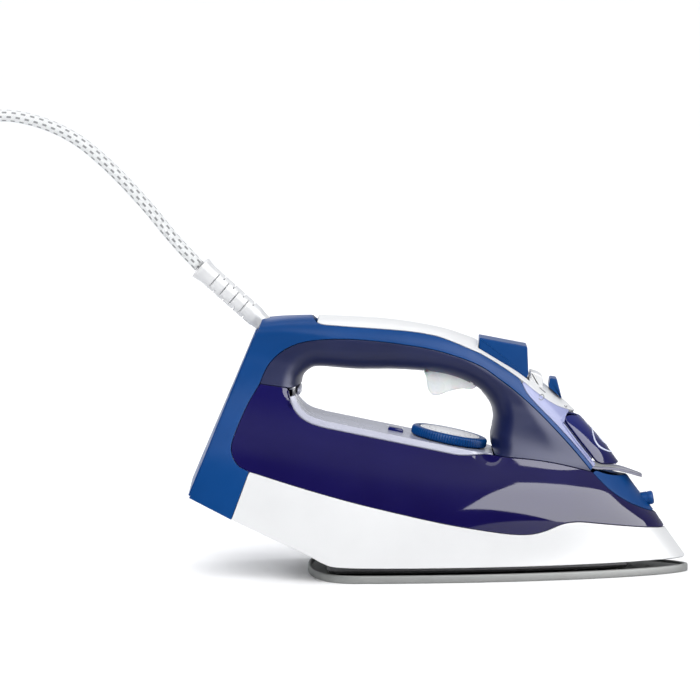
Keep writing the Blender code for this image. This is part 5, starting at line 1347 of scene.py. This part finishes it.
def makeEmblem():
    # a ring and a drop on the lid's sloping top, drawn by distance along the crest and depth below it
    slope = portion(crest, (82, 91.8), (106, 63))
    along, left = lengthsAlong(slope), sideways(slope)
    power = body["softness"]

    def onLid(distance, sideShare, proud):
        spot = np.stack([np.interp(distance, along, axis) for axis in slope.T], axis=-1)
        down = -np.stack([np.interp(distance, along, axis) for axis in left.T], axis=-1)
        u = 1 - (1 - np.abs(sideShare) ** power) ** (1 / power)
        under = spot + down * (u * body["slopeRound"])[..., None]
        width = halfWidth(under[..., 0], under[..., 1])
        under = under - down * proud * (1 - np.abs(sideShare))[..., None]
        across = np.sign(sideShare) * (width + proud * np.abs(sideShare))
        return np.stack([under[..., 0], across, under[..., 1]], axis=-1)

    steps, low, high = emblem["steps"], emblem["low"], emblem["high"]
    turn = np.linspace(0, 2 * math.pi, steps, endpoint=False)
    points, faces = [], []
    shapes = [(emblem["half"], emblem["wide"], emblem["line"], 0 * turn),
              (emblem["drop"], emblem["drop"] * 0.045, 0.9, 0.35 * np.cos(turn) ** 3)]
    for number, (size, wide, thick, point) in enumerate(shapes):
        rings = []
        for step, proud in ((0, low), (0, high), (thick, high), (thick, low)):
            reach = size - step
            distance = emblem["middle"] + reach * np.cos(turn) * (1 + point)
            rings.append(onLid(distance, np.sin(turn) * wide * reach / size * (1 - 0.5 * point), proud))
        faces += (gridFaces(steps, 4, around=True, closed=True) + number * steps * 4).tolist()
        points.append(np.stack(rings, axis=1).reshape(-1, 3))
    mesh = toMesh("lidEmblem", np.concatenate(points), faces)
    return settled(newPiece("lidEmblem", tidied(mesh, 0.001, True)))

finishes["dialFace"] = dialPrint()
finishes["mark"] = mouldedPlastic("greyMark", (0.16, 0.165, 0.18), 0.5, 0.1)
finishes["emblem"] = mouldedPlastic("paleEmblem", (0.62, 0.66, 0.82), 0.3, 0.1)
dress(makeCap(), "white", "housing", ["handle_cap"])
dress(makeFrame(), "blue", "housing", ["housing_frame"])
dress(makeGrip(), "navy", "housing", ["grip"])
dress(makeHump(), "white", "housing", ())
print("cap, frame and grip are made")
dress(makeTank(), "tank", "housing", ["water_tank"])
dress(makeDeck(), "deck", "housing", ["deck_panel"])
dress(makeSkirt(), "white", "housing", ["lower_skirt"])
dress(makeNoseCover(), "blue", "housing", ["nose_cover"])
print("tank, deck, skirt and nose cover are made")
dress(makeLid(), "lid", "filler_lid", ["filler_lid"])
dress(makeEmblem(), "emblem", "filler_lid", ())
dress(makeFunnel(), "lilac", "housing", ["filler_funnel"])
dress(makeLip(), "lip", "housing", ["filler_spout"])
print("filler is made")
dress(makeHeel(), "blue", "housing", ["heel_cover"])
dress(makeBase(), "white", "housing", ["rear_base_cover"])
dress(makeSole(), "sole", "housing", ["soleplate"])
print("heel, underside and soleplate are made")
knob, disc = makeDial()
dress(knob, "blue", "dial", ["temperature_dial"])
dress(disc, "dialFace", "dial", ["dial_face"])
dress(makeLens(), "lid", "housing", ["indicator_lens"])
dress(makePad(), "deck", "housing", ())
dress(makeButton(), "blue", "spray_button", ["spray_button"])
dress(makeLever(), "blue", "steam_lever", ["steam_lever"])
dress(makeTrigger(), "trigger", "trigger", ["steam_trigger"])
dress(makeGuard(), "white", "cord_guard", ["cord_guard"])
dress(makeNozzle(), "blue", "housing", ["spray_nozzle"])
dress(markStrip("capMarks", marks["grey"], marks["width"]), "mark", "housing", ())
makeSpring("spray_spring", 4, 0.45)
makeSpring("steam_spring", 3, 0.4)
print("dial, buttons, guard and nozzle are made")

# Inner parts keep the frame's meshes and take real finishes

kept = {
    "cast": ["heater_casting"], "brass": ["thermostat", "steam_valve", "nozzle_jet"],
    "steel": ["steam_chamber_lid", "heating_element", "thermostat_shaft", "trigger_pin",
              "steam_needle", "heel_screw_1", "heel_screw_2", "heel_screw_3"],
    "inner": ["tank_floor", "tank_bulkhead", "spray_cylinder", "spray_piston", "spray_tube", "suction_tube",
              "steam_cylinder", "steam_piston", "cord_clamp", "terminal_block", "thermal_fuse"],
    "tie": ["supply_lead"],
}
for finish, names in kept.items():
    for name in names:
        piece = bpy.data.objects[name]
        for place in piece.material_slots:
            place.link = "DATA"
            place.material = finishes[finish]


def makeFloor():
    size = studio["floorHalf"]
    mesh = bpy.data.meshes.new("floor")
    corners = [(-size, -size, 0), (size, -size, 0), (size, size, 0), (-size, size, 0)]
    mesh.from_pydata(corners, [], [(0, 1, 2, 3)])
    floor = newPiece("floor", mesh)
    made, flow, shader = newMaterial("paleFloor", studio["floor"], 0.75)
    clouds = noise(flow, flow.node("TexCoord", output=3), 3, 2)
    feed(shader, "Base Color", clouds.mixed(shade(studio["floor"], 0.985), shade(studio["floor"], 1.01)))
    mesh.materials.append(made)


makeFloor()
print("floor is laid")
